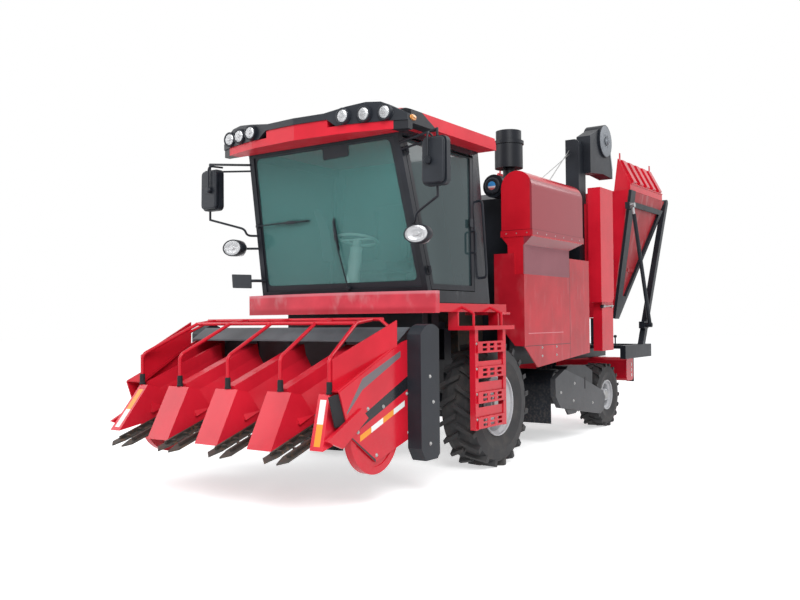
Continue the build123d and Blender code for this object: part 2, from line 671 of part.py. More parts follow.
# Each row: side, centre of the glass and place of the upright tube behind it
MIRRORS = ((1, 1392, 1365), (-1, 1392, 1505))
with BuildPart() as mirrors:
    for side, glass_x, tube_x in MIRRORS:
        corners = [(side * (cab_half(z) - 12), front_edge(z) - 60, z) for z in ARM_ROOT_Z]
        corners[1:1] = [(side * tube_x, MIRROR_Y + 60, z) for z in ARM_Z]
        for start, end in zip(corners, corners[1:]):
            rod(start, end, MIRROR_TUBE_R)
        for corner in corners[1:3]:
            with Locations(point(*corner)):
                Sphere(MIRROR_TUBE_R)
        with BuildSketch(cross_plane(MIRROR_Y + MIRROR_T / 2)) as face:
            with Locations((side * glass_x, sum(MIRROR_Z) / 2)):
                RectangleRounded(MIRROR_HALF * 2, MIRROR_Z[1] - MIRROR_Z[0], MIRROR_HALF * 0.4)
        extrude(face.sketch, amount=MIRROR_T)
        rod((side * glass_x, MIRROR_Y, 2900), (side * tube_x, MIRROR_Y + 60, 2900), MIRROR_TUBE_R * 2)
        x, y, z = HEADLAMP
        rod((side * x, y + HEADLAMP_L, z), (side * x, y + HEADLAMP_L + 40, z), 30)
        rod((side * x, y + HEADLAMP_L + 20, z), (side * (cab_half(z) - 12), front_edge(z) - 45, z), MIRROR_TUBE_R)
    add(cab_front_frame.part, mode=Mode.SUBTRACT)
save(mirrors, "mirrors")

# Seat and steering column, seen through the glass
SEAT_BACK_Y = CAB_REAR_Y - 110
with BuildPart() as seat:
    block((-200, 200), (SEAT_BACK_Y - 480, SEAT_BACK_Y - 100), (CAB_FLOOR_TOP, 2000))
    block((-250, 250), (SEAT_BACK_Y - 560, SEAT_BACK_Y - 40), (2000, 2120))
    block((-240, 240), (SEAT_BACK_Y - 120, SEAT_BACK_Y), (2120, 2760))
save(seat, "seat")
COLUMN_FOOT = (0, -940, CAB_FLOOR_TOP)
COLUMN_TOP = (0, -800, 2330)
WHEEL_R = 205
WHEEL_GRIP = 15
with BuildPart() as steering_column:
    rod(COLUMN_FOOT, COLUMN_TOP, 45)
    tilt = point(*COLUMN_TOP) - point(*COLUMN_FOOT)
    wheel = Plane(origin=point(*COLUMN_TOP), x_dir=(1, 0, 0), z_dir=tilt)
    with BuildSketch(Plane(origin=wheel.origin, x_dir=(1, 0, 0), z_dir=wheel.y_dir)) as grip:
        with Locations((WHEEL_R, 0)):
            RegularPolygon(WHEEL_GRIP, 8)
    revolve(grip.sketch, axis=Axis(wheel.origin, wheel.z_dir))
    with BuildSketch(wheel.offset(-8)) as spoke:
        Rectangle(WHEEL_R * 2, 36)
    extrude(spoke.sketch, amount=16)
    add(cab_floor.part, mode=Mode.SUBTRACT)
save(steering_column, "steering_column")

# Red cowl under the windscreen
COWL_BACK = CAB_SILL_Y - 3
COWL_FOOT_HALF = 900
with BuildPart() as front_cowl:
    with BuildSketch(level_plane(1565)) as face:
        with BuildLine():
            Line((1175, COWL_BACK), (-1175, COWL_BACK))
            Line((-1175, COWL_BACK), (-1175, COWL_BACK - 70))
            ThreePointArc((-1175, COWL_BACK - 70), (0, COWL_BACK - 230), (1175, COWL_BACK - 70))
            Line((1175, COWL_BACK - 70), (1175, COWL_BACK))
        make_face()
    extrude(face.sketch, amount=205)
    block((-COWL_FOOT_HALF, COWL_FOOT_HALF), (COWL_BACK, CAB_FLOOR_FRONT), (CAB_FLOOR_Z0, CAB_FLOOR_TOP - 5))
save(front_cowl, "front_cowl")

# Deck box, step platform with its toe board, and a ladder of punched treads on the left
DECK_X0 = cab_half(CAB_FLOOR_TOP)
DECK_X1 = 1165
DECK_Z = (1575, 1655)
DECK_REAR = 230
LADDER_CLEAR = 73
LADDER_X = FRONT_TRACK / 2 + FRONT_TYRE_W / 2 + LADDER_CLEAR
LADDER_Y = (-680, -120)
STEP_X1 = LADDER_X + 55
STEP_Y = (-760, 60)
STEP_Z = (1400, 1440)
STRINGER_W = 60
TREAD_Z = (460, 700, 940, 1180)
TREAD_H = 110
SLOT = (90, 26)
RAIL_LOOP_Z = 1560
RAIL_LOOP_R = 13
with BuildPart() as ladder:
    block((DECK_X0, DECK_X1), (COWL_BACK, DECK_REAR), DECK_Z)
    block((DECK_X0, STEP_X1), STEP_Y, STEP_Z)
    for y in (STEP_Y[0], STEP_Y[1] - 20):
        block((DECK_X0, DECK_X1), (y, y + 20), (STEP_Z[1], DECK_Z[0]))
    for y in LADDER_Y:
        block((LADDER_X - 30, LADDER_X + 30), (y - STRINGER_W / 2, y + STRINGER_W / 2), (TREAD_Z[0] - 10, STEP_Z[0]))
    for z in TREAD_Z:
        block((LADDER_X - 45, LADDER_X + 45), LADDER_Y, (z, z + 12))
        with BuildSketch(side_plane(LADDER_X + 45)) as tread:
            with Locations((sum(LADDER_Y) / 2, z + TREAD_H / 2)):
                Rectangle(LADDER_Y[1] - LADDER_Y[0], TREAD_H)
                with GridLocations(SLOT[0] * 1.6, SLOT[1] * 1.7, 3, 2):
                    Rectangle(*SLOT, mode=Mode.SUBTRACT)
        extrude(tread.sketch, amount=-10)
    for y in LADDER_Y:
        rod((LADDER_X, y, STEP_Z[0]), (LADDER_X, y, RAIL_LOOP_Z), RAIL_LOOP_R)
    rod((LADDER_X, LADDER_Y[1], RAIL_LOOP_Z), (LADDER_X, STEP_Y[1] - 10, RAIL_LOOP_Z), RAIL_LOOP_R)
    rod((LADDER_X, LADDER_Y[1], RAIL_LOOP_Z), (DECK_X1 - 10, LADDER_Y[1], DECK_Z[1] - 30), RAIL_LOOP_R)
    rod((LADDER_X, LADDER_Y[0], RAIL_LOOP_Z), (DECK_X1 - 10, LADDER_Y[0], DECK_Z[1] - 30), RAIL_LOOP_R)
save(ladder, "ladder")

# Engine block and the husking core behind it, both on the rails
with BuildPart() as engine_block:
    block((-ENGINE_HALF, ENGINE_HALF), (ENGINE_FRONT, ENGINE_REAR), (RAIL_TOP, ENGINE_TOP))
save(engine_block, "engine_block")
with BuildPart() as husker_case:
    core_line = [(CORE_FRONT, RAIL_TOP), (CORE_FRONT, 2900), (CORE_FRONT + 250, CORE_TOP), (CORE_REAR, CORE_TOP),
                 (CORE_REAR, RAIL_TOP)]
    prism(side_plane(-CORE_HALF), core_line, CORE_HALF * 2)
save(husker_case, "husker_case")

# Side panels: a sheet with a slanted skirt, a front return that stands higher and a rear return
PANEL_LINE = [(PANEL_FRONT, SKIRT_Z), (900, 965), (PANEL_REAR, 1075), (PANEL_REAR, DOGHOUSE_TOP),
              (SCREEN_REAR, DOGHOUSE_TOP), (SCREEN_REAR, SCREEN_Z0), (PANEL_FRONT, SCREEN_Z0)]
RETURN_IN = 836
RETURN_STEP = 1083
STAY_Z = (1550, 1650)
with BuildPart() as side_panel_left:
    prism(side_plane(SIDE_X), PANEL_LINE, -SHEET)
    front_return = [(SIDE_X, SKIRT_Z), (RETURN_STEP, SKIRT_Z + 5), (RETURN_IN, 1500), (RETURN_IN, DOGHOUSE_TOP),
                    (RETURN_STEP, DOGHOUSE_TOP), (RETURN_STEP, SCREEN_Z0), (SIDE_X, SCREEN_Z0)]
    prism(cross_plane(PANEL_FRONT + SHEET), front_return, SHEET)
    block((ENGINE_HALF, RETURN_IN), (PANEL_FRONT, PANEL_FRONT + SHEET), STAY_Z)
    block((CORE_HALF, SIDE_X), (PANEL_REAR - SHEET, PANEL_REAR), (1085, DOGHOUSE_TOP))
save(side_panel_left, "side_panel_left")
with BuildPart() as side_panel_right:
    mirror(side_panel_left.part, about=Plane.YZ)
save(side_panel_right, "side_panel_right")

# Flat air screen above each side panel, its mesh too fine to cut
with BuildPart() as air_screens:
    for side in SIDES.values():
        block((side * SIDE_X, side * (SIDE_X - SHEET)), (PANEL_FRONT + SHEET, SCREEN_REAR), (SCREEN_Z0, SCREEN_TOP))
save(air_screens, "air_screens")

# Red intake housing on the left: a neck behind the screen, a funnel and a box with a half-round top
INTAKE_MID = (INTAKE_IN + INTAKE_OUT) / 2
INTAKE_R = (INTAKE_OUT - INTAKE_IN) / 2
FLANGE = 8
FLANGE_H = 70
NECK_FRONT = PANEL_FRONT + SHEET
with BuildPart() as intake_box:
    block((NECK_IN, SIDE_X - SHEET), (NECK_FRONT, SCREEN_REAR), (SCREEN_Z0, SCREEN_TOP))
    with BuildSketch(level_plane(SCREEN_TOP)) as neck_top:
        with Locations(((NECK_IN + SIDE_X) / 2, (NECK_FRONT + SCREEN_REAR) / 2)):
            Rectangle(SIDE_X - NECK_IN, SCREEN_REAR - NECK_FRONT)
    with BuildSketch(level_plane(INTAKE_FOOT)) as funnel_top:
        with Locations((INTAKE_MID, (INTAKE_FRONT + INTAKE_REAR) / 2)):
            Rectangle(INTAKE_OUT - INTAKE_IN, INTAKE_REAR - INTAKE_FRONT)
    loft([neck_top.sketch, funnel_top.sketch], ruled=True)
    with BuildSketch(cross_plane(INTAKE_REAR)) as face:
        with BuildLine():
            spring = INTAKE_TOP - INTAKE_R
            Polyline((INTAKE_IN, spring), (INTAKE_IN, INTAKE_FOOT), (INTAKE_OUT, INTAKE_FOOT), (INTAKE_OUT, spring))
            ThreePointArc((INTAKE_OUT, spring), (INTAKE_MID, INTAKE_TOP), (INTAKE_IN, spring))
        make_face()
    extrude(face.sketch, amount=INTAKE_REAR - INTAKE_FRONT)
    block((INTAKE_IN - FLANGE, INTAKE_OUT + FLANGE), (INTAKE_FRONT - FLANGE, INTAKE_REAR + FLANGE),
          (INTAKE_FOOT, INTAKE_FOOT + FLANGE_H))
save(intake_box, "intake_box")

# Air pre-cleaner, air cleaner drum and exhaust
PRECLEANER = (690, 1250)
EXHAUST = (-560, 1500)
# Each row: lower height, upper height and radius of the pre-cleaner's steps
PRECLEANER_STEPS = ((CORE_TOP, 3280, 70), (3280, 3560, 165), (3560, 3600, 178), (3600, 3720, 150))
with BuildPart() as stacks:
    for low, high, radius in PRECLEANER_STEPS:
        rod((*PRECLEANER, low), (*PRECLEANER, high), radius)
    rod((CLEANER_X, CLEANER_FRONT, CLEANER_Z), (CLEANER_X, PRECLEANER[1], CLEANER_Z), CLEANER_R)
    rod((CLEANER_X, CLEANER_FRONT - 25, CLEANER_Z), (CLEANER_X, CLEANER_FRONT, CLEANER_Z), CLEANER_R * 0.72)
    rod((*EXHAUST, CORE_TOP), (*EXHAUST, 3150), 45)
    rod((*EXHAUST, 3150), (*EXHAUST, 3520), 90)
    pipe([(*EXHAUST, 3500), (*EXHAUST, 3640), (EXHAUST[0], EXHAUST[1] + 150, 3720)], 60, 40)
    add(husker_case.part, mode=Mode.SUBTRACT)
save(stacks, "stacks")

# Ear elevator: boxed trunk with a rounded top, a drum head with its bearing disc, and a spout over the bin
TRUNK_ROUND = 60
BOOT = ((560, TRUNK_X1), (CORE_REAR, TRUNK_REAR), (1300, 1750))
with BuildPart() as ear_elevator:
    block(*BOOT)
    with BuildSketch(cross_plane(TRUNK_REAR)) as face:
        with Locations(((TRUNK_X0 + TRUNK_X1) / 2, (1300 + TRUNK_TOP) / 2)):
            Rectangle(TRUNK_X1 - TRUNK_X0, TRUNK_TOP - 1300)
        fillet(face.vertices().group_by(Axis.Z)[-1].sort_by(Axis.X)[-1], TRUNK_ROUND)
    extrude(face.sketch, amount=TRUNK_REAR - CORE_REAR)
    casing = [(TRUNK_REAR - 60, 3400), (TRUNK_REAR - 60, HEAD_Z), (HEAD_Y, HEAD_Z + HEAD_R * 0.98),
              (HEAD_Y + HEAD_R * 0.97, HEAD_Z - 40), (SPOUT_TIP_Y, SPOUT_TIP_Z + 110), (SPOUT_TIP_Y, SPOUT_TIP_Z),
              (HEAD_Y - 60, SPOUT_TIP_Z + 20)]
    prism(side_plane(SPOUT_IN), casing, SPOUT_OUT - SPOUT_IN)
    rod((HEAD_IN, HEAD_Y, HEAD_Z), (HEAD_OUT, HEAD_Y, HEAD_Z), HEAD_R)
    rod((HEAD_OUT, HEAD_Y, HEAD_Z), (HEAD_OUT + 12, HEAD_Y, HEAD_Z), 62)
    rod((HEAD_OUT, HEAD_Y, HEAD_Z), (HEAD_OUT + 45, HEAD_Y, HEAD_Z), 24)
save(ear_elevator, "ear_elevator")

# Open-topped red side duct beside the elevator, on a narrower latched box
DUCT_WALL = 10
DUCT_CUT = 60
DUCT_BOX = ((DUCT_X0, SIDE_X), (2830, 3220), (1080, DUCT_FOOT))
with BuildPart() as side_duct:
    duct_line = [(DUCT_FRONT, DUCT_FOOT), (DUCT_REAR - DUCT_CUT, DUCT_FOOT), (DUCT_REAR, DUCT_FOOT + DUCT_CUT),
                 (DUCT_REAR, DUCT_TOP), (DUCT_FRONT, DUCT_TOP)]
    prism(side_plane(DUCT_X0), duct_line, DUCT_X1 - DUCT_X0)
    block((DUCT_X0 + DUCT_WALL, DUCT_X1 - DUCT_WALL), (DUCT_FRONT + DUCT_WALL, DUCT_REAR - DUCT_WALL),
          (DUCT_FOOT + DUCT_CUT, DUCT_TOP), mode=Mode.SUBTRACT)
    block(*DUCT_BOX)
    block((TRUNK_X1, DUCT_X0), (TRUNK_REAR - 60, TRUNK_REAR), (2000, 3000))
save(side_duct, "side_duct")

# Rear frame: side beams, cross tubes, leaning posts, bin rests, lamp boards and drawbar
POST_TOP = (BIN_PIVOT_Y, BIN_PIVOT_Z)
POST_MID_X = (POST_X0 + POST_X1) / 2
CROSS_TUBES_Y = (3960, 4700)
HITCH_Y = 4930
HITCH_Z = 600
HITCH_BORE_R = 16
with BuildPart() as rear_frame:
    for side in SIDES.values():
        block((side * POST_X0, side * POST_X1), (BEAM_FRONT, RAIL_REAR), (BEAM_Z0, BEAM_TOP))
        bar((side * POST_MID_X, POST_FOOT_Y, BEAM_TOP - 20), (side * POST_MID_X, *POST_TOP), (1, 0, 0),
            POST_X1 - POST_X0, POST_W)
        rod((side * POST_X0, *POST_TOP), (side * POST_X1, *POST_TOP), BOSS_R)
        rod((side * POST_X0, *POST_TOP), (side * POST_X1, *POST_TOP), BIN_PIN_R + RUN_GAP, mode=Mode.SUBTRACT)
        block((side * POST_X0, side * POST_X1), (BIN_BASE_Y - 60, BIN_BASE_Y + 130), (BIN_BASE_Z - 50, BIN_BASE_Z + 50))
        eye_in = side * (BIN_CYL_X - BIN_EYE_W / 2 - EAR_GAP)
        rod((side * POST_X1, BIN_BASE_Y, BIN_BASE_Z), (eye_in, BIN_BASE_Y, BIN_BASE_Z), 34)
        rod((eye_in, BIN_BASE_Y, BIN_BASE_Z), (side * (BIN_CYL_X + BIN_EYE_W / 2 + 4), BIN_BASE_Y, BIN_BASE_Z), CYL_PIN_R)
        block((side * 450, side * 550), (4290, 4400), (BEAM_TOP, BIN_LOW_Z))
        block((side * 450, side * 550), (CROSS_TUBES_Y[0], 4400), (RAIL_TOP, BEAM_TOP))
        block((side * 840, side * 950), (4690, 4710), (560, RAIL_TOP + 10))
    for y in CROSS_TUBES_Y:
        block((-POST_X0, POST_X0), (y - 50, y + 50), (RAIL_TOP, BEAM_TOP))
    block((-60, 60), (4650, 4750), (HITCH_Z, RAIL_TOP))
    block((-60, 60), (4650, HITCH_Y + 60), (HITCH_Z, HITCH_Z + 40))
    rod((0, HITCH_Y, HITCH_Z), (0, HITCH_Y, HITCH_Z + 40), HITCH_BORE_R, mode=Mode.SUBTRACT)
save(rear_frame, "rear_frame")

# Fuel tank across the frame, rounded along its length, with a filler neck
TANK = ((-800, 980), (4310, 4600), (590, RAIL_Z0))
TANK_ROUND = 70
FILLER_R = 34
with BuildPart() as fuel_tank:
    (x0, x1), (y0, y1), (z0, z1) = TANK
    with BuildSketch(side_plane(x0)) as face:
        with Locations(((y0 + y1) / 2, (z0 + z1) / 2)):
            RectangleRounded(y1 - y0, z1 - z0, TANK_ROUND)
    extrude(face.sketch, amount=x1 - x0)
    rod((x1 - 110, (y0 + y1) / 2, z1 - 20), (x1 - 60, (y0 + y1) / 2 - 40, z1 + 90), FILLER_R)
save(fuel_tank, "fuel_tank")

# Tipping bin: side sheets, front and rear sheets, bottom strip, side frames and top panels
BIN_LEAN = (BIN_TOP_HALF - BIN_LOW_HALF) / (BIN_TOP_Z - BIN_LOW_Z)
BIN_STRETCH = hypot(1, BIN_LEAN)
BIN_PLANE = Plane(origin=point(BIN_LOW_HALF, 0, BIN_LOW_Z), x_dir=(0, 1, 0), z_dir=(1, 0, -BIN_LEAN))


def on_bin(y, z):
    """A place on the leaning left bin sheet from its length and height."""
    return (y, (z - BIN_LOW_Z) * BIN_STRETCH)


def bin_half(z):
    """Half width inside the bin's side sheets at a height."""
    return BIN_LOW_HALF + BIN_LEAN * (z - BIN_LOW_Z) - BIN_SHEET * BIN_STRETCH - WALL_GAP


bin_outline = [(BIN_LOW_FRONT, BIN_LOW_Z), (BIN_LOW_REAR, BIN_LOW_Z), (BIN_TOP_REAR, BIN_TOP_Z),
               (BIN_TOP_FRONT, BIN_TOP_Z)]
with BuildPart() as left_bin_side:
    prism(BIN_PLANE, [on_bin(*place) for place in bin_outline], -BIN_SHEET)
    rib = [(4520, 2190), (4760, 2190), (4790, 2240), (4510, 2240)]
    prism(BIN_PLANE, [on_bin(*place) for place in rib], BIN_SHEET)
with BuildPart() as bin_sides:
    add(left_bin_side.part)
    mirror(left_bin_side.part, about=Plane.YZ)
save(bin_sides, "bin_sides")


def bin_end(low, high, inward):
    """A leaning end sheet of the bin between its side sheets; inward is +1 for the front one."""
    low_y, low_z = low
    high_y, high_z = high
    rise = Vector(0, high_y - low_y, high_z - low_z)
    plane = Plane(origin=point(0, low_y, low_z), x_dir=(1, 0, 0), z_dir=Vector(1, 0, 0).cross(rise))
    corners = [(-bin_half(low_z), 0), (bin_half(low_z), 0), (bin_half(high_z), rise.length),
               (-bin_half(high_z), rise.length)]
    prism(plane, corners, -BIN_SHEET * inward)


BIN_FLOOR_T = 10
with BuildPart() as bin_ends:
    bin_end((BIN_LOW_FRONT, BIN_LOW_Z + BIN_FLOOR_T + 4), (BIN_TOP_FRONT, BIN_TOP_Z), 1)
    bin_end((BIN_LOW_REAR, BIN_LOW_Z + BIN_FLOOR_T + 10), (BIN_TOP_REAR, BIN_TOP_Z), -1)
    floor_half = bin_half(BIN_LOW_Z)
    block((-floor_half, floor_half), (BIN_LOW_FRONT, BIN_LOW_REAR), (BIN_LOW_Z, BIN_LOW_Z + BIN_FLOOR_T))
save(bin_ends, "bin_ends")

FRONT_BEAM_W = 180
RIB_W = 80
RAIL_HIGH = BIN_TOP_Z - 150
RAIL_LOW = BIN_TOP_Z - 225


def bin_front(z):
    """Length place of the bin's front edge at a height."""
    return BIN_TOP_FRONT + (BIN_LOW_FRONT - BIN_TOP_FRONT) * (BIN_TOP_Z - z) / (BIN_TOP_Z - BIN_LOW_Z)


def bin_rear(z):
    """Length place of the bin's rear edge at a height."""
    return BIN_TOP_REAR + (BIN_LOW_REAR - BIN_TOP_REAR) * (BIN_TOP_Z - z) / (BIN_TOP_Z - BIN_LOW_Z)


FRAME_FOOT = BIN_LOW_Z + 330
with BuildPart() as left_bin_frame:
    frame_line = [(BIN_LOW_FRONT, BIN_LOW_Z), (BIN_LOW_REAR, BIN_LOW_Z), (bin_rear(RAIL_HIGH), RAIL_HIGH),
                  (bin_front(RAIL_HIGH) + FRONT_BEAM_W, RAIL_HIGH), (BIN_TOP_FRONT + FRONT_BEAM_W, BIN_TOP_Z),
                  (BIN_TOP_FRONT, BIN_TOP_Z)]
    prism(BIN_PLANE, [on_bin(*place) for place in frame_line], BIN_RIB)
    hole = [(bin_front(FRAME_FOOT) + FRONT_BEAM_W, FRAME_FOOT), (bin_rear(FRAME_FOOT) - RIB_W * 1.2, FRAME_FOOT),
            (bin_rear(RAIL_LOW) - RIB_W * 1.2, RAIL_LOW), (bin_front(RAIL_LOW) + FRONT_BEAM_W, RAIL_LOW)]
    prism(BIN_PLANE, [on_bin(*place) for place in hole], BIN_RIB, mode=Mode.SUBTRACT)
    eye_in = BIN_CYL_X - BIN_EYE_W / 2 - EAR_GAP
    ear_y = BIN_TOP_FRONT + 40
    block((BIN_TOP_HALF - 10, eye_in), (BIN_EYE_Y - 45, ear_y + 30), (BIN_EYE_Z - 45, BIN_EYE_Z + 45))
    prism(BIN_PLANE, [on_bin(*place) for place in bin_outline], -BIN_SHEET * 4, mode=Mode.SUBTRACT)
HINGE_LUGS_X = (-900, -300, 300, 900)
HINGE_TUBE_R = 34
with BuildPart() as bin_frame:
    add(left_bin_frame.part)
    mirror(left_bin_frame.part, about=Plane.YZ)
    rod((-POST_X0 + 4, *POST_TOP), (POST_X0 - 4, *POST_TOP), HINGE_TUBE_R)
    rod((-POST_X1, *POST_TOP), (POST_X1, *POST_TOP), BIN_PIN_R)
    for x in HINGE_LUGS_X:
        block((x - 20, x + 20), (BIN_TOP_REAR - 26, BIN_PIVOT_Y), (BIN_TOP_Z - 10, BIN_TOP_Z + 24))
    add(bin_ends.part, mode=Mode.SUBTRACT)
save(bin_frame, "bin_frame")

# Top panels: an upright fascia, a leaning corrugated sheet and a gusset at the front end
FASCIA_TOP = BIN_TOP_Z + 100
PANEL_TOP_Z = BIN_TOP_Z + 470
PANEL_TOP_IN = 170
PANEL_LIFT = BIN_SHEET * BIN_LEAN + WALL_GAP
PANEL_Y = (BIN_TOP_FRONT + 70, BIN_TOP_REAR - 100)
PANEL_RIBS = 5
PANEL_RIB_W = 130
PANEL_RIB_H = 26
GUSSET_IN = 905
with BuildPart() as left_top_panel:
    foot = BIN_TOP_Z + PANEL_LIFT
    top_x = BIN_TOP_HALF - PANEL_TOP_IN
    sheet_line = [(BIN_TOP_HALF - BIN_SHEET, foot), (BIN_TOP_HALF, foot), (BIN_TOP_HALF, FASCIA_TOP), (top_x, PANEL_TOP_Z),
                  (top_x - BIN_SHEET, PANEL_TOP_Z), (BIN_TOP_HALF - BIN_SHEET, FASCIA_TOP - 4)]
    prism(cross_plane(PANEL_Y[1]), sheet_line, PANEL_Y[1] - PANEL_Y[0])
    rib_line = [(BIN_TOP_HALF - 4, FASCIA_TOP + 8), (BIN_TOP_HALF + PANEL_RIB_H, FASCIA_TOP + 30),
                (top_x + PANEL_RIB_H, PANEL_TOP_Z - 8), (top_x, PANEL_TOP_Z - 8)]
    pitch = (PANEL_Y[1] - PANEL_Y[0]) / PANEL_RIBS
    for index in range(PANEL_RIBS):
        rib_y = PANEL_Y[0] + (index + 0.5) * pitch + PANEL_RIB_W / 2
        prism(cross_plane(rib_y), rib_line, PANEL_RIB_W)
    gusset = [(GUSSET_IN, foot), (BIN_TOP_HALF, foot), (BIN_TOP_HALF, FASCIA_TOP), (top_x, PANEL_TOP_Z),
              (top_x - BIN_SHEET, PANEL_TOP_Z)]
    prism(cross_plane(PANEL_Y[0]), gusset, BIN_SHEET)
    for y in (PANEL_Y[0] + 60, PANEL_Y[1] - 60):
        block((top_x - BIN_SHEET, top_x), (y - 16, y + 16), (PANEL_TOP_Z - 5, PANEL_TOP_Z + 90))
with BuildPart() as bin_top_panels:
    add(left_top_panel.part)
    mirror(left_top_panel.part, about=Plane.YZ)
save(bin_top_panels, "bin_top_panels")


def cylinder_barrel(x, base, eye, radius, eye_r, eye_w, rod_r, share):
    """A cylinder barrel on its base pin, bored for the rod, as long as a share of the pin distance."""
    (y0, z0), (y1, z1) = base, eye
    reach = (y0 + (y1 - y0) * share, z0 + (z1 - z0) * share)
    foot = (y0 + (y1 - y0) * NECK_SHARE, z0 + (z1 - z0) * NECK_SHARE)
    start = (y0 + (y1 - y0) * BORE_START, z0 + (z1 - z0) * BORE_START)
    rod((x, y0, z0), (x, *foot), min(radius, eye_w / 2 - 3))
    rod((x, *foot), (x, *reach), radius)
    rod((x - eye_w / 2, y0, z0), (x + eye_w / 2, y0, z0), eye_r)
    rod((x, *start), (x, *reach), rod_r + RUN_GAP, mode=Mode.SUBTRACT)
    rod((x - eye_w / 2, y0, z0), (x + eye_w / 2, y0, z0), CYL_PIN_R + RUN_GAP, mode=Mode.SUBTRACT)


def cylinder_rod(x, base, eye, eye_r, eye_w, rod_r, near):
    """The rod of a cylinder with its eye, from a share of the pin distance that leaves it room to retract."""
    (y0, z0), (y1, z1) = base, eye
    rod((x, y0 + (y1 - y0) * near, z0 + (z1 - z0) * near), (x, y1, z1), rod_r)
    rod((x - eye_w / 2, y1, z1), (x + eye_w / 2, y1, z1), eye_r)


NECK_SHARE = 0.08
BORE_START = 0.12
LIFT_SHARE = 0.72
LIFT_ROD_START = 0.24
BIN_SHARE = 0.93
BIN_ROD_START = 0.13
LIFT_BASE = (LIFT_BASE_Y, LIFT_BASE_Z)
LIFT_EYE = (LIFT_EYE_Y, LIFT_EYE_Z)
BIN_BASE = (BIN_BASE_Y, BIN_BASE_Z)
BIN_EYE = (BIN_EYE_Y, BIN_EYE_Z)
with BuildPart() as lift_barrels:
    for side in SIDES.values():
        cylinder_barrel(side * LIFT_CYL_X, LIFT_BASE, LIFT_EYE, LIFT_BARREL_R, LIFT_EYE_R, LIFT_EYE_W,
                        LIFT_ROD_R, LIFT_SHARE)
save(lift_barrels, "lift_barrels")
with BuildPart() as lift_rods:
    for side in SIDES.values():
        cylinder_rod(side * LIFT_CYL_X, LIFT_BASE, LIFT_EYE, LIFT_EYE_R, LIFT_EYE_W, LIFT_ROD_R, LIFT_ROD_START)
save(lift_rods, "lift_rods")
with BuildPart() as bin_barrels:
    for side in SIDES.values():
        cylinder_barrel(side * BIN_CYL_X, BIN_BASE, BIN_EYE, BIN_BARREL_R, BIN_EYE_R, BIN_EYE_W,
                        BIN_ROD_R, BIN_SHARE)
save(bin_barrels, "bin_barrels")
with BuildPart() as bin_rods:
    for side in SIDES.values():
        cylinder_rod(side * BIN_CYL_X, BIN_BASE, BIN_EYE, BIN_EYE_R, BIN_EYE_W, BIN_ROD_R, BIN_ROD_START)
save(bin_rods, "bin_rods")

# Stalk shredder: rounded hood on hangers, grey side covers that bear the rotor, a belt box and the rotor
HOOD_T = 10
HOOD_FOOT = 400
HOOD_CROWN_Y = 1850
HOOD_ROUND = 190
CURTAIN_Z = 260


def hood_profile(inset):
    """Outline of the hood in side view: upright front, rounded brow and a long fall to the rear."""
    front = SHRED_FRONT + inset
    rear = SHRED_REAR - inset
    foot = HOOD_FOOT - inset * 3
    top = SHRED_TOP - inset
    spring = (front, top - HOOD_ROUND)
    crown = (front + HOOD_ROUND, top)
    with BuildSketch(side_plane(-SHRED_HALF)) as profile:
        with BuildLine():
            Polyline((rear, foot), (front, foot), spring)
            ThreePointArc(spring, (front + HOOD_ROUND * 0.293, top - HOOD_ROUND * 0.293), crown)
            Polyline(crown, (HOOD_CROWN_Y, top), (rear, 545 - inset), (rear, foot))
        make_face()
    return profile.sketch


with BuildPart() as shredder_hood:
    extrude(hood_profile(0), amount=SHRED_HALF * 2)
    extrude(hood_profile(HOOD_T), amount=SHRED_HALF * 2, mode=Mode.SUBTRACT)
    block((-SHRED_HALF, SHRED_HALF), (SHRED_FRONT, SHRED_FRONT + HOOD_T), (CURTAIN_Z, HOOD_FOOT + 40))
    for side in SIDES.values():
        block((side * (RAIL_X - 30), side * (RAIL_X + 30)), (HOOD_CROWN_Y - 100, HOOD_CROWN_Y),
              (SHRED_TOP - 4, RAIL_Z0))
        belt_box = [(1930, 800), (2090, 915), (2630, 905), (2880, 815), (2870, 630), (2600, 640)]
        prism(side_plane(side * (SHRED_HALF - 5)), belt_box, -side * 200)
    hollow = [(SHRED_FRONT + HOOD_T, 300), (SHRED_FRONT + HOOD_T, 640), (HOOD_CROWN_Y, SHRED_TOP - HOOD_T * 2),
              (SHRED_REAR - HOOD_T, 520), (SHRED_REAR - HOOD_T, 300)]
    prism(side_plane(-SHRED_HALF), hollow, SHRED_HALF * 2, mode=Mode.SUBTRACT)
save(shredder_hood, "shredder_hood")
COVER_LINE = [(1573, 587), (1714, 437), (2973, 255), (3082, 294), (3140, 464), (3056, 552), (2392, 750),
              (1848, 891), (1567, 792)]
SKID_LINE = [(1900, 425), (1990, 330), (2200, 330), (2300, 370)]
with BuildPart() as shredder_covers:
    for side in SIDES.values():
        prism(side_plane(side * SHRED_HALF), COVER_LINE, side * (COVER_X1 - SHRED_HALF))
        prism(side_plane(side * (SHRED_HALF + 20)), SKID_LINE, side * 25)
        rod((side * SHRED_HALF, SHRED_Y, SHRED_Z), (side * (SHRED_HALF + 40), SHRED_Y, SHRED_Z),
            SHRED_SHAFT_R + RUN_GAP, mode=Mode.SUBTRACT)
save(shredder_covers, "shredder_covers")
FLAIL_PITCH = 120
with BuildPart() as shredder_rotor:
    drum_half = SHRED_HALF - 10
    rod((-drum_half, SHRED_Y, SHRED_Z), (drum_half, SHRED_Y, SHRED_Z), 95)
    rod((-SHRED_HALF - 35, SHRED_Y, SHRED_Z), (SHRED_HALF + 35, SHRED_Y, SHRED_Z), SHRED_SHAFT_R)
    for index in range(16):
        x = (index - 7.5) * FLAIL_PITCH
        angle = radians(index * 105)
        tip = (SHRED_Y + SHRED_R * cos(angle), SHRED_Z + SHRED_R * sin(angle))
        bar((x, SHRED_Y, SHRED_Z), (x, *tip), (1, 0, 0), 14, 60)
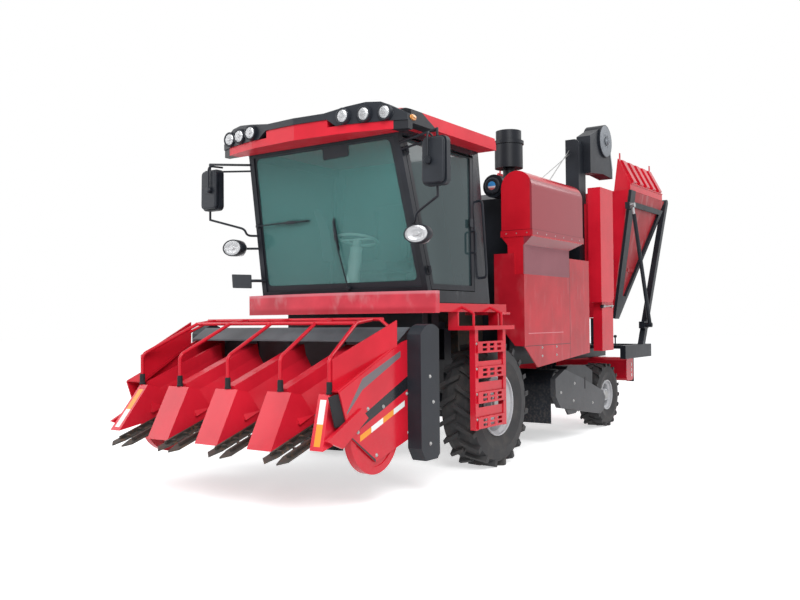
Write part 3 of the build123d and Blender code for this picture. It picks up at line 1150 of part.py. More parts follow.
save(shredder_rotor, "shredder_rotor")

# Header: end walls, trough, snouts, row units, guard tubes, drive covers and feeder house
# End wall: a plate with a raised toe board, an upper panel that runs in towards the end snout, and a round skid
SIDE_LINE = [(-2560, 600), (-2231, 365), (-1715, 505), (HEADER_REAR, 505), (HEADER_REAR, 1400), (-1844, 1316),
             (-2690, 955)]
TOE_LINE = [(-2860, 605), (-2433, 813), (-2347, 730), (-2670, 528)]
TOE_T = 30
WALL_REAR_Y = -1915
WALL_FRONT = (END_CREST_OUT + 5, TUBE_FOOT_Y + 5)
SKID_CENTRE = (-2214, 590)
SKID_R = 325
SKID_T = 70
with BuildPart() as left_end:
    prism(side_plane(HEADER_HALF), SIDE_LINE, HEADER_SHEET)
    prism(side_plane(HEADER_HALF), TOE_LINE, TOE_T)
    run = Vector(HEADER_HALF - WALL_FRONT[0], WALL_REAR_Y - WALL_FRONT[1], 0)
    wall_plane = Plane(origin=point(*WALL_FRONT, 0), x_dir=run, z_dir=run.cross(Vector(0, 0, 1)))
    prism(wall_plane, [(0, 930), (run.length, 1275), (run.length, 1500), (0, 1200)], HEADER_SHEET)
    ledge_corner = point(*WALL_FRONT, 945)
    ledge_run = point(HEADER_HALF, WALL_REAR_Y, 1285) - ledge_corner
    ledge_plane = Plane(origin=ledge_corner, x_dir=ledge_run,
                        z_dir=ledge_run.cross(point(HEADER_HALF, -2690, 955) - ledge_corner))
    ledge = [ledge_plane.to_local_coords(place) for place in
             (ledge_corner, ledge_corner + ledge_run, point(HEADER_HALF + 2, -2690, 955))]
    prism(ledge_plane, [(place.X, place.Y) for place in ledge], -HEADER_SHEET)
    with BuildSketch(side_plane(HEADER_HALF)) as skid:
        with Locations(SKID_CENTRE):
            Circle(SKID_R)
            Circle(SKID_R - 60, mode=Mode.SUBTRACT)
        with Locations((SKID_CENTRE[0], SKID_CENTRE[1] + SKID_R)):
            Rectangle(SKID_R * 3, SKID_R * 2, mode=Mode.SUBTRACT)
    extrude(skid.sketch, amount=-SKID_T)
    rod((HEADER_HALF, AUGER_Y, AUGER_Z), (HEADER_HALF + HEADER_SHEET, AUGER_Y, AUGER_Z), AUGER_SHAFT_R + RUN_GAP,
        mode=Mode.SUBTRACT)
with BuildPart() as header_sides:
    add(left_end.part)
    mirror(left_end.part, about=Plane.YZ)
save(header_sides, "header_sides")

TROUGH_T = 10
TROUGH_LINE = [(-1960, 830), (-1900, 640), (-1800, 540), (HEADER_REAR, 500), (HEADER_REAR, 1400), (-1720, 1440),
               (-1900, 1330)]
TROUGH_INNER = [(-1950, 832), (-1892, 646), (-1796, 550), (HEADER_REAR - TROUGH_T, 512),
                (HEADER_REAR - TROUGH_T, 1390), (-1718, 1430), (-1896, 1320), (-2100, 1200)]
with BuildPart() as header_trough:
    trough_half = HEADER_HALF
    prism(side_plane(-trough_half), TROUGH_LINE, trough_half * 2)
    prism(side_plane(-trough_half), TROUGH_INNER, trough_half * 2, mode=Mode.SUBTRACT)
    block((-FEEDER_HALF + 30, FEEDER_HALF - 30), (HEADER_REAR - TROUGH_T * 2, HEADER_REAR), (540, 960),
          mode=Mode.SUBTRACT)
save(header_trough, "header_trough")

# Snouts: a nose with a flat front plate and flared cheeks, and a peaked hood behind it
NOSE_LINE = [NOSE_TIP, NOSE_CREST, (-2540, 905), (-2400, 690), (-2420, 610)]
# Each row: half width and drop below the ridge of the hood's section
HOOD_SECTION = ((50, 0), (75, 110), (190, 280))
SNOUT_GAP = 2


def hood_face(y, ridge_z, x, hands):
    """The hood's section at a length place, on both hands or on one hand of the ridge."""
    with BuildSketch(cross_plane(y)) as section:
        with BuildLine():
            left = [(x + half * hands[1], ridge_z - drop) for half, drop in HOOD_SECTION]
            right = [(x - half * hands[0], ridge_z - drop) for half, drop in reversed(HOOD_SECTION)]
            Polyline(*left, *right, close=True)
        make_face()
    return section.sketch


with BuildPart() as inner_snout:
    prism(side_plane(-NOSE_BASE_HALF), NOSE_LINE, NOSE_BASE_HALF * 2)
    for hand in (-1, 1):
        trim((hand * NOSE_HALF, *NOSE_TIP), (hand * NOSE_HALF, *NOSE_CREST), (hand * NOSE_BASE_HALF, -2500, 585),
             (0, -2600, 700))
    loft([hood_face(*HOOD_RIDGE_FRONT, 0, (1, 1)), hood_face(*HOOD_RIDGE_REAR, 0, (1, 1))], ruled=True)
END_TIP = (-2875, 530)
END_LINE = [END_TIP, NOSE_CREST, (-2540, 905), (-2400, 690), (-2420, 640)]
END_HOOD_X = END_CREST_OUT - HOOD_SECTION[0][0]
# Shares of the hood's half width towards the row and towards the end wall
END_HOOD_HANDS = (0.45, 0.2)
with BuildPart() as end_snout:
    prism(side_plane(900), END_LINE, HEADER_HALF - SNOUT_GAP - 900)
    trim((END_CREST_OUT, *NOSE_CREST), (HEADER_HALF - SNOUT_GAP, *END_TIP), (HEADER_HALF - SNOUT_GAP, -2420, 640),
         (1150, -2600, 700))
    trim((END_CREST_IN, *NOSE_CREST), (END_TIP_IN, *END_TIP), (980, -2420, 640), (1150, -2600, 700))
    loft([hood_face(*ridge, END_HOOD_X, END_HOOD_HANDS) for ridge in (HOOD_RIDGE_FRONT, HOOD_RIDGE_REAR)],
         ruled=True)
    add(left_end.part, mode=Mode.SUBTRACT)
with BuildPart() as snouts:
    for x in SNOUT_X:
        with Locations((x, 0, 0)):
            add(inner_snout.part)
    add(end_snout.part)
    mirror(end_snout.part, about=Plane.YZ)
save(snouts, "snouts")

# Row units: two deck plates in each row, each with a lugged gathering chain along its slot
ROW_X = tuple((index - 1.5) * ROW_PITCH for index in range(4))
DECK_FRONT = (5 - FRONT_REACH, 430)
DECK_REAR = (-1965, 790)
DECK_T = 14
DECK_IN = 22
DECK_OUT = 130
CHAIN_X = 84
CHAIN_W = 22
CHAIN_H = 26
LUG_PITCH = 135
LUG_L = 44
LUG_T = 16
CHAIN_START = 110
CHAIN_END = 40
with BuildPart() as row_unit:
    slope = Vector(0, DECK_REAR[0] - DECK_FRONT[0], DECK_REAR[1] - DECK_FRONT[1])
    deck_plane = Plane(origin=point(0, *DECK_FRONT), x_dir=(1, 0, 0), z_dir=Vector(1, 0, 0).cross(slope))
    chain_plane = deck_plane.offset(DECK_T)
    chain_end = slope.length - CHAIN_END
    lug_count = int((chain_end - CHAIN_START * 2) / LUG_PITCH)
    for hand in (-1, 1):
        near = hand * DECK_IN
        far = hand * DECK_OUT
        chain_in = hand * (CHAIN_X - CHAIN_W / 2)
        chain_out = hand * (CHAIN_X + CHAIN_W / 2)
        tip = chain_in - hand * LUG_L
        deck = [(near + hand * 40, 0), (far, 60), (far, slope.length), (near, slope.length), (near, 120)]
        prism(deck_plane, deck, DECK_T)
        link_run = [(chain_in, CHAIN_START), (chain_out, CHAIN_START), (chain_out, chain_end), (chain_in, chain_end)]
        prism(chain_plane, link_run, CHAIN_H)
        for index in range(lug_count):
            foot = CHAIN_START + 40 + (index + 0.25 * (hand + 1)) * LUG_PITCH
            lug = [(chain_in + hand, foot), (tip, foot + LUG_T), (tip, foot + LUG_T * 2),
                   (chain_in + hand, foot + LUG_T * 2)]
            prism(chain_plane, lug, CHAIN_H * 0.7)
with BuildPart() as row_units:
    for x in ROW_X:
        with Locations((x, 0, 0)):
            add(row_unit.part)
    frame_y = DECK_REAR[0] + 5
    block((-HEADER_HALF, HEADER_HALF), (frame_y - 60, frame_y), (700, 790))
    ridge_rise = (HOOD_RIDGE_REAR[1] - HOOD_RIDGE_FRONT[1]) / (HOOD_RIDGE_REAR[0] - HOOD_RIDGE_FRONT[0])
    stay_top = HOOD_RIDGE_FRONT[1] + ridge_rise * (frame_y - 30 - HOOD_RIDGE_FRONT[0]) - 190
    for x in (*SNOUT_X, -END_HOOD_X + 15, END_HOOD_X - 15):
        block((x - 30, x + 30), (frame_y - 50, frame_y - 10), (790, stay_top))
    add(snouts.part, mode=Mode.SUBTRACT)
    add(header_sides.part, mode=Mode.SUBTRACT)
save(row_units, "row_units")

# Guard tubes: a bent tube up from each snout to a front bar and on to a rear bar
TUBE_KNEE_Z = 1205
TUBE_BEND = 75
BAR_HALF = 980
GUARD_X = (-END_CREST_OUT + 13, *SNOUT_X, END_CREST_OUT - 13)
with BuildPart() as guard_tubes:
    for x in GUARD_X:
        reach = x * 0.87
        pipe([(x, TUBE_FOOT_Y, 900), (x, TUBE_FOOT_Y, TUBE_KNEE_Z), (reach, FRONT_BAR_Y, FRONT_BAR_Z),
              (reach, REAR_BAR_Y, REAR_BAR_Z)], TUBE_BEND, TUBE_R)
    rod((-BAR_HALF, FRONT_BAR_Y, FRONT_BAR_Z), (BAR_HALF, FRONT_BAR_Y, FRONT_BAR_Z), TUBE_R)
    rod((-BAR_HALF - 90, REAR_BAR_Y, REAR_BAR_Z), (BAR_HALF + 90, REAR_BAR_Y, REAR_BAR_Z), TUBE_R)
    for side in SIDES.values():
        rod((side * (BAR_HALF + 60), REAR_BAR_Y, REAR_BAR_Z),
            (side * HEADER_HALF, WALL_REAR_Y - 15, REAR_BAR_Z - 110), TUBE_R - 2)
    add(snouts.part, mode=Mode.SUBTRACT)
    add(header_sides.part, mode=Mode.SUBTRACT)
save(guard_tubes, "guard_tubes")

COVER_OUT = 1400
with BuildPart() as drive_covers:
    for side in SIDES.values():
        x0 = side * (HEADER_HALF + HEADER_SHEET)
        with BuildSketch(side_plane(x0)) as face:
            with BuildLine():
                Polyline((-1770, 1380), (-1770, 420), (-1700, 310), (-1520, 310), (-1480, 350), (-1480, 1420))
                ThreePointArc((-1480, 1420), (-1620, 1466), (-1770, 1380))
            make_face()
        extrude(face.sketch, amount=side * (COVER_OUT - HEADER_HALF - HEADER_SHEET))
        rod((x0, AUGER_Y, AUGER_Z), (x0 + side * 60, AUGER_Y, AUGER_Z), AUGER_SHAFT_R + 5, mode=Mode.SUBTRACT)
save(drive_covers, "drive_covers")

with BuildPart() as cross_auger:
    auger_half = HEADER_HALF - 8
    rod((-auger_half, AUGER_Y, AUGER_Z), (auger_half, AUGER_Y, AUGER_Z), AUGER_TUBE_R)
    rod((-auger_half - 18, AUGER_Y, AUGER_Z), (auger_half + 18, AUGER_Y, AUGER_Z), AUGER_SHAFT_R)
    for side in SIDES.values():
        for turn in range(6):
            x = side * (300 + turn * 150)
            bar((x, AUGER_Y - AUGER_R, AUGER_Z), (x + side * 60, AUGER_Y + AUGER_R, AUGER_Z), (0, 0, 1), 90, 10)
save(cross_auger, "cross_auger")

FEEDER_LINE = [(HEADER_REAR, 480), (HEADER_REAR, 1010), (120, 1480), (330, 1480), (330, 1190), (150, 1130)]
FEEDER_INNER = [(HEADER_REAR, 530), (HEADER_REAR, 960), (115, 1440), (330, 1440), (330, 1230), (140, 1180)]
with BuildPart() as feeder_house:
    prism(side_plane(-FEEDER_HALF), FEEDER_LINE, FEEDER_HALF * 2)
    prism(side_plane(40 - FEEDER_HALF), FEEDER_INNER, FEEDER_HALF * 2 - 80, mode=Mode.SUBTRACT)
    for side in SIDES.values():
        rod((side * FEEDER_HALF, LIFT_Y, LIFT_Z), (side * (FEEDER_HALF - 20), LIFT_Y, LIFT_Z), LIFT_PIN_R + RUN_GAP,
            mode=Mode.SUBTRACT)
        for ear in (-1, 1):
            x_in = side * LIFT_CYL_X + ear * (LIFT_EYE_W / 2 + EAR_GAP)
            ear_line = [(LIFT_EYE_Y - 60, 640), (LIFT_EYE_Y - 45, LIFT_EYE_Z - 40), (LIFT_EYE_Y + 45, LIFT_EYE_Z - 40),
                        (LIFT_EYE_Y + 120, 660)]
            prism(side_plane(x_in), ear_line, ear * EAR_T)
save(feeder_house, "feeder_house")
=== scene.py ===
"""Looks of a four-row corn harvester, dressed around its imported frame."""

from __future__ import annotations

import json
import logging
import math
from dataclasses import dataclass
from enum import Enum
from typing import Any, Iterable, Sequence

import bpy
from mathutils import Matrix, Vector

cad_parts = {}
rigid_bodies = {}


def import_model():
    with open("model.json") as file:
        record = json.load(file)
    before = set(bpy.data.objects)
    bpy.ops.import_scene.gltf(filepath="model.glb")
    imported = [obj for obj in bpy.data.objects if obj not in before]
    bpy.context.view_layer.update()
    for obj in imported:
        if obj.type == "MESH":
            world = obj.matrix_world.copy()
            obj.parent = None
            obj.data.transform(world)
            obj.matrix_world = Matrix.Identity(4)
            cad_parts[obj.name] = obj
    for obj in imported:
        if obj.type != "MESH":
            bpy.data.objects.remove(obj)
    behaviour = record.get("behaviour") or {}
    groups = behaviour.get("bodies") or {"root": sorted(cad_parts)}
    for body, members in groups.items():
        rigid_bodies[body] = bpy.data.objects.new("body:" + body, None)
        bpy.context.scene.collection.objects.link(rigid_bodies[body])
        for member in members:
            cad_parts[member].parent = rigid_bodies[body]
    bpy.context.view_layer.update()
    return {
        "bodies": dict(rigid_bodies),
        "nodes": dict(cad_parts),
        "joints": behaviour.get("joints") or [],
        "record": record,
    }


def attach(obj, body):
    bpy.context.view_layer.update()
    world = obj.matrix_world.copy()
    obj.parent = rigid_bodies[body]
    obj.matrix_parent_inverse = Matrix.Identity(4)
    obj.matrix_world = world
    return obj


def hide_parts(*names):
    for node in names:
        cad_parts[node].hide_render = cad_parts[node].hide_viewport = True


log = logging.getLogger("corn_harvester")

Point = tuple[float, float, float]
Colour = tuple[float, float, float]

# A pattern that lies equally close along each axis
EVEN: Point = (1.0, 1.0, 1.0)
# The frame's front axle stands here, and lengths along the machine are measured from it
AXLE_Y = -1.354
# The photograph's width and its camera's focal length, in pixels
PHOTO_WIDTH = 800.0
PHOTO_FOCAL = 853.283
# The cab's sill, and how far the windscreen leans back in each metre of height
SILL_Z = 1.780
SCREEN_LEAN = 0.2162


class Value:
    """A shader socket that takes part in Python sums."""

    def __init__(self, graph: Graph, socket: bpy.types.NodeSocket) -> None:
        """Keeps the graph that the socket belongs to."""
        self.graph = graph
        self.socket = socket

    def _sum(self, operation: str, other: Value | float, swap: bool = False) -> Value:
        """Adds one Math node.

        Args:
            operation: Blender's name of the sum.
            other: the second value.
            swap: whether the other value comes first.

        Returns:
            The result's socket.
        """
        first, second = (other, self) if swap else (self, other)
        return self.graph.node("ShaderNodeMath", {"operation": operation}, {0: first, 1: second})

    def __add__(self, other: Value | float) -> Value:
        """Sum."""
        return self._sum("ADD", other)

    def __radd__(self, other: float) -> Value:
        """Sum with a number first."""
        return self._sum("ADD", other, True)

    def __sub__(self, other: Value | float) -> Value:
        """Difference."""
        return self._sum("SUBTRACT", other)

    def __rsub__(self, other: float) -> Value:
        """Difference from a number."""
        return self._sum("SUBTRACT", other, True)

    def __mul__(self, other: Value | float) -> Value:
        """Product."""
        return self._sum("MULTIPLY", other)

    def __rmul__(self, other: float) -> Value:
        """Product with a number first."""
        return self._sum("MULTIPLY", other, True)

    def __truediv__(self, other: Value | float) -> Value:
        """Quotient."""
        return self._sum("DIVIDE", other)

    def __lt__(self, other: Value | float) -> Value:
        """One where this is the smaller, else nought."""
        return self._sum("LESS_THAN", other)

    def __gt__(self, other: Value | float) -> Value:
        """One where this is the larger, else nought."""
        return self._sum("GREATER_THAN", other)

    def most(self, other: Value | float) -> Value:
        """The larger of two values."""
        return self._sum("MAXIMUM", other)

    def size(self) -> Value:
        """The value without its sign."""
        return self._sum("ABSOLUTE", 0.0)


class Graph:
    """One material's node tree, with the few calls that every finish uses."""

    def __init__(self, name: str) -> None:
        """Starts a material with a principled surface and object coordinates.

        Args:
            name: the material's name.
        """
        self.material = bpy.data.materials.new(name)
        self.material.use_nodes = True
        self.tree = self.material.node_tree
        self.tree.nodes.clear()
        self.surface = self.tree.nodes.new("ShaderNodeBsdfPrincipled")
        output = self.tree.nodes.new("ShaderNodeOutputMaterial")
        self.tree.links.new(self.surface.outputs[0], output.inputs["Surface"])
        self.place = self.node("ShaderNodeTexCoord", {}, {}, "Object")

    def node(self, kind: str, settings: dict[str, Any], sockets: dict[Any, Any],
             output: int | str = 0) -> Value:
        """Adds a node.

        Args:
            kind: the node's type.
            settings: its own settings, set first; stops are a ramp's places and colours.
            sockets: numbers, colours or links for its sockets.
            output: which of its outputs to return.

        Returns:
            That output.
        """
        made = self.tree.nodes.new(kind)
        for key, setting in settings.items():
            if key == "stops":
                self._stops(made, setting)
            else:
                setattr(made, key, setting)
        for key, held in sockets.items():
            self._feed(made.inputs[key], held)
        return Value(self, made.outputs[output])

    @staticmethod
    def _stops(ramp: bpy.types.Node, stops: Sequence[tuple[float, Colour]]) -> None:
        """Sets a ramp's places and colours.

        Args:
            ramp: the colour ramp's node.
            stops: its places and colours, in order.
        """
        elements = ramp.color_ramp.elements
        while len(elements) < len(stops):
            elements.new(1.0)
        for element, (place, colour) in zip(elements, stops):
            element.position = place
            element.color = (*colour, 1.0)

    def _feed(self, socket: bpy.types.NodeSocket, held: Any) -> None:
        """Links a value to a socket or sets its number or colour.

        Args:
            socket: the socket to feed.
            held: a value, a number, a vector or a colour.
        """
        if isinstance(held, Value):
            self.tree.links.new(held.socket, socket)
        elif isinstance(held, tuple) and len(held) == 3 and socket.type == "RGBA":
            socket.default_value = (*held, 1.0)
        else:
            socket.default_value = held

    def set(self, **sockets: Any) -> None:
        """Feeds the principled surface; names use underscores for spaces."""
        for key, held in sockets.items():
            self._feed(self.surface.inputs[key.replace("_", " ")], held)

    def axis(self, name: str) -> Value:
        """One coordinate of the object, X, Y or Z."""
        return self.node("ShaderNodeSeparateXYZ", {}, {0: self.place}, name)

    def noise(self, scale: float, detail: float = 3.0, stretch: Point = EVEN) -> Value:
        """Cloudy noise, from nought to one.

        Args:
            scale: blotches a metre.
            detail: how many finer layers it has.
            stretch: how much closer it lies along each axis.

        Returns:
            The noise's value.
        """
        at = self.node("ShaderNodeMapping", {}, {"Vector": self.place, "Scale": stretch})
        return self.node("ShaderNodeTexNoise", {}, {"Vector": at, "Scale": scale, "Detail": detail})

    def ramp(self, value: Value, stops: Sequence[tuple[float, Colour]]) -> Value:
        """Colours from a value."""
        return self.node("ShaderNodeValToRGB", {"stops": stops}, {0: value})

    def band(self, value: Value, low: float, high: float) -> Value:
        """Rises smoothly from nought to one between two numbers."""
        return self.node("ShaderNodeMapRange", {"interpolation_type": "SMOOTHSTEP"},
                         {"Value": value, "From Min": low, "From Max": high})

    def mix(self, share: Value | float, first: Any, second: Any) -> Value:
        """Mixes two colours by a share."""
        return self.node("ShaderNodeMix", {"data_type": "RGBA"}, {0: share, 6: first, 7: second}, 2)

    def bump(self, height: Value, strength: float, depth: float) -> Value:
        """A bumped normal from a height in metres."""
        return self.node("ShaderNodeBump", {}, {"Height": height, "Strength": strength, "Distance": depth})


@dataclass(frozen=True)
class Stripe:
    """A straight stripe on the outer face of both sides, seen from the side."""

    colour: Colour
    start: tuple[float, float]
    end: tuple[float, float]
    height: tuple[float, float]
    reach: tuple[float, float]

    def cover(self, graph: Graph) -> Value:
        """Where the stripe lies.

        Args:
            graph: the paint's node tree.

        Returns:
            One on the stripe, else nought.
        """
        out = graph.axis("X").size()
        share = (graph.axis("Y") - (self.start[0] + AXLE_Y)) / (self.end[0] - self.start[0])
        rise = graph.axis("Z") - (share * (self.end[1] - self.start[1]) + self.start[1])
        tall = share * (self.height[1] - self.height[0]) + self.height[0]
        within = (out > self.reach[0]) * (out < self.reach[1])
        return within * (share > 0.0) * (share < 1.0) * (rise > 0.0) * (rise < tall)


@dataclass(frozen=True)
class NoseStrip:
    """One half of the reflective strip down the front plate of each end snout."""

    colour: Colour
    upper: bool
    near: bool
    crest: Point = (1.071, -2.640, 0.930)
    run: tuple[float, float] = (0.2825, -0.5875)
    half: float = 0.030
    depth: float = 0.012
    span: Point = (0.560, 0.715, 0.890)

    def cover(self, graph: Graph) -> Value:
        """Where the strip lies.

        Args:
            graph: the paint's node tree.

        Returns:
            One on the strip, else nought.
        """
        across, height = graph.axis("X"), graph.axis("Z")
        fall = self.crest[2] - height
        beside = (across.size() - (fall * self.run[0] + self.crest[0])).size() < self.half
        ahead = (graph.axis("Y") - (fall * self.run[1] + (self.crest[1] + AXLE_Y))).size() < self.depth
        low, high = self.span[1:] if self.upper else self.span[:2]
        side = across > 0.0 if self.near else across < 0.0
        return beside * ahead * side * (height > low) * (height < high)


@dataclass(frozen=True)
class Patch:
    """A stretch of the surface inside a box, with a soft edge."""

    colour: Colour
    low: Point
    high: Point
    soft: float = 0.004
    share: float = 1.0

    def cover(self, graph: Graph) -> Value:
        """Where the patch lies.

        Args:
            graph: the paint's node tree.

        Returns:
            Its share inside the box, else nought.
        """
        shares: Value | float = self.share
        for name, low, high in zip("XYZ", self.low, self.high):
            shift = AXLE_Y if name == "Y" else 0.0
            place = graph.axis(name) - shift
            rise = graph.band(place, low, low + self.soft)
            shares = rise * (1 - graph.band(place, high - self.soft, high)) * shares
        return shares


class Sheen(Enum):
    """How far a painted surface shines."""

    GLOSS = 0.18
    SATIN = 0.38
    FLAT = 0.62


@dataclass(frozen=True)
class Paint:
    """Sprayed enamel with a faint orange peel, ripples of its wrap with painted highlights on the wrap's
    creases, marks and dust near the ground.
    """

    name: str
    colour: Colour
    sheen: Sheen = Sheen.GLOSS
    ripple: float = 0.0
    dust: float = 0.04
    fade: float = 0.12
    # Share of the wrap's creases that get a painted highlight
    film_highlight: float = 0.0
    marks: tuple[Any, ...] = ()
    soil: Colour = (0.23, 0.19, 0.15)
    soil_z: tuple[float, float] = (0.2, 1.1)

    def make(self) -> bpy.types.Material:
        """Builds the paint.

        Returns:
            The material.
        """
        graph = Graph(self.name)
        cloud = graph.noise(scale=2.3, detail=4.0)
        pale = tuple(min(1.0, tone * (1 + self.fade) + 0.02 * self.fade) for tone in self.colour)
        deep = tuple(tone * (1 - self.fade) for tone in self.colour)
        coat = graph.ramp(cloud, [(0.3, deep), (0.7, pale)])
        if self.film_highlight:
            # The wrap's creases get a painted highlight, a paler mix of the colour
            creases = graph.noise(scale=5.0, detail=4.0, stretch=(1.0, 2.4, 0.5))
            painted_highlight = graph.band(creases, 0.52, 0.74) * self.film_highlight
            coat = graph.mix(painted_highlight, coat, tuple(tone * 0.55 + 0.26 for tone in self.colour))
        for mark in self.marks:
            coat = graph.mix(mark.cover(graph), coat, mark.colour)
        low = 1 - graph.band(graph.axis("Z"), *self.soil_z)
        grit = graph.band(graph.noise(scale=38.0, detail=6.0), 0.42, 0.7)
        soil = low * grit * self.dust
        peel = graph.noise(scale=420.0, detail=2.0)
        skin = graph.noise(scale=5.5, detail=2.0, stretch=(1.0, 1.6, 0.5)) * self.ripple
        height = skin + peel * 0.02
        rough = graph.noise(scale=9.0, detail=3.0) * 0.14 + (self.sheen.value - 0.05) + soil * 0.5
        graph.set(Base_Color=graph.mix(soil, coat, self.soil), Roughness=rough,
                  Coat_Weight=0.1 if self.sheen is Sheen.GLOSS else 0.0, Coat_Roughness=0.08,
                  Specular_IOR_Level=0.22, Normal=graph.bump(height, strength=0.5, depth=0.006))
        return graph.material


@dataclass(frozen=True)
class Moulded:
    """Dark moulded plastic with a fine grain."""

    name: str
    colour: Colour
    rough: float = 0.5

    def make(self) -> bpy.types.Material:
        """Builds the plastic.

        Returns:
            The material.
        """
        graph = Graph(self.name)
        tone = graph.noise(scale=3.0, detail=3.0)
        pale = tuple(part * 1.35 + 0.004 for part in self.colour)
        grain = graph.node("ShaderNodeTexVoronoi", {}, {"Vector": graph.place, "Scale": 900.0})
        graph.set(Base_Color=graph.ramp(tone, [(0.35, self.colour), (0.7, pale)]),
                  Roughness=tone * 0.16 + (self.rough - 0.08), Specular_IOR_Level=0.3,
                  Normal=graph.bump(grain, strength=0.12, depth=0.001))
        return graph.material


@dataclass(frozen=True)
class Rubber:
    """Tyre rubber, greyed with dried soil between its lugs and on its walls."""

    name: str
    colour: Colour = (0.022, 0.022, 0.024)
    soil: Colour = (0.135, 0.115, 0.095)
    soiled: float = 0.35

    def make(self) -> bpy.types.Material:
        """Builds the rubber.

        Returns:
            The material.
        """
        graph = Graph(self.name)
        blotch = graph.band(graph.noise(scale=7.0, detail=6.0), 0.42, 0.72)
        fine = graph.noise(scale=55.0, detail=5.0)
        share = blotch * fine * self.soiled
        graph.set(Base_Color=graph.mix(share, self.colour, self.soil), Roughness=fine * 0.15 + 0.66,
                  Normal=graph.bump(fine, strength=0.25, depth=0.004))
        return graph.material


@dataclass(frozen=True)
class Metal:
    """Bare or plated metal with fine drawn lines and stains."""

    name: str
    colour: Colour
    rough: float = 0.35
    metallic: float = 0.9
    stain: Colour = (0.12, 0.07, 0.04)
    stained: float = 0.3
    grain: Point = (1.0, 1.0, 30.0)

    def make(self) -> bpy.types.Material:
        """Builds the metal.

        Returns:
            The material.
        """
        graph = Graph(self.name)
        drawn = graph.noise(scale=14.0, detail=4.0, stretch=self.grain)
        spots = graph.band(graph.noise(scale=26.0, detail=6.0), 0.52, 0.74) * self.stained
        pale = tuple(min(1.0, tone * 1.15) for tone in self.colour)
        bare = graph.ramp(drawn, [(0.35, self.colour), (0.7, pale)])
        graph.set(Base_Color=graph.mix(spots, bare, self.stain), Metallic=(1 - spots) * self.metallic,
                  Roughness=drawn * 0.18 + spots * 0.4 + (self.rough - 0.09),
                  Normal=graph.bump(drawn, strength=0.12, depth=0.002))
        return graph.material


@dataclass(frozen=True)
class Glazing:
    """Tinted cab glass: the windscreen is a lighter green than the side panes, and its paler streaks are
    painted reflections.
    """

    name: str
    # Tints of the windscreen and of the side panes, each followed by the colour of its painted reflections
    front: Colour = (0.112, 0.310, 0.296)
    front_reflection: Colour = (0.128, 0.338, 0.322)
    side: Colour = (0.030, 0.052, 0.056)
    side_reflection: Colour = (0.060, 0.088, 0.092)
    screen_y: float = AXLE_Y - 0.665
    front_clear: float = 0.62
    side_clear: float = 0.06

    def make(self) -> bpy.types.Material:
        """Builds the glass.

        Returns:
            The material.
        """
        graph = Graph(self.name)
        ahead = graph.axis("Y") + graph.axis("Z") * SCREEN_LEAN < self.screen_y
        # Paler streaks across the glass are painted reflections
        painted_reflection = graph.band(graph.noise(scale=1.6, detail=3.0, stretch=(1.0, 1.0, 0.35)), 0.35, 0.75)
        tint = graph.mix(ahead, self.side, self.front)
        pale = graph.mix(ahead, self.side_reflection, self.front_reflection)
        graph.set(Base_Color=graph.mix(painted_reflection * 0.6, tint, pale), Roughness=painted_reflection * 0.03 + 0.02,
                  Alpha=(1 - self.side_clear) - ahead * (self.front_clear - self.side_clear),
                  Coat_Weight=0.1, Coat_Roughness=0.02, Specular_IOR_Level=0.25)
        return graph.material


@dataclass(frozen=True)
class Lens:
    """A lamp's pressed lens over its bright bowl."""

    name: str
    colour: Colour
    pitch: float = 120.0

    def make(self) -> bpy.types.Material:
        """Builds the lens.

        Returns:
            The material.
        """
        graph = Graph(self.name)
        flute = graph.node("ShaderNodeTexWave", {"bands_direction": "X"},
                           {"Vector": graph.place, "Scale": self.pitch})
        dark = tuple(tone * 0.32 for tone in self.colour)
        graph.set(Base_Color=graph.ramp(flute, [(0.1, dark), (0.8, self.colour)]),
                  Roughness=flute * 0.1 + 0.06, Metallic=0.55, Coat_Weight=1.0, Coat_Roughness=0.02,
                  Normal=graph.bump(flute, strength=0.4, depth=0.003))
        return graph.material


ORANGE: Colour = (0.800, 0.290, 0.020)
WHITE: Colour = (0.800, 0.800, 0.780)
INK: Colour = (0.014, 0.015, 0.019)
WINE: Colour = (0.120, 0.008, 0.014)
PEWTER: Colour = (0.150, 0.126, 0.138)
# How far out the faces of the end plates and of the side panels lie
PLATE: tuple[float, float] = (1.2612, 1.2700)
PANEL: tuple[float, float] = (1.1950, 1.2100)


def reflector(places: Sequence[float], foot: float, rise: float, height: float) -> tuple[Stripe, ...]:
    """A reflective strip in turns of orange and white.

    Args:
        places: where each turn starts, and where the last one ends.
        foot: height of the strip's first corner.
        rise: how much it climbs in each metre.
        height: its width.

    Returns:
        One stripe for each turn.
    """
    turns = []
    for index, (first, last) in enumerate(zip(places, places[1:])):
        start, end = (foot + rise * (place - places[0]) for place in (first, last))
        colour = (ORANGE, WHITE)[index % 2]
        turns.append(Stripe(colour, (first, start), (last, end), (height, height), PLATE))
    return tuple(turns)


END_MARKS = (
    Stripe(INK, (-2.540, 0.612), (-1.700, 0.945), (0.082, 0.112), PLATE),
    Stripe(PEWTER, (-2.600, 0.775), (-2.400, 0.955), (0.020, 0.088), PLATE),
    Stripe(PEWTER, (-2.400, 0.955), (-1.870, 1.192), (0.088, 0.052), PLATE),
    Stripe(INK, (-2.560, 0.590), (-2.231, 0.365), (0.022, 0.022), PLATE),
    *reflector((-2.435, -2.287, -2.126, -1.975, -1.815), foot=0.552, rise=0.362, height=0.048),
)
NOSE_MARKS = (NoseStrip(WHITE, True, True), NoseStrip(ORANGE, False, True),
              NoseStrip(ORANGE, True, False), NoseStrip(WHITE, False, False))
PANEL_MARKS = (
    Stripe(WINE, (0.600, 1.202), (1.796, 1.202), (0.009, 0.009), PANEL),
    Stripe(WINE, (1.796, 1.030), (1.806, 1.030), (1.200, 1.200), PANEL),
    Stripe((0.640, 0.200, 0.230), (0.680, 1.340), (1.600, 1.340), (0.008, 0.008), PANEL),
)
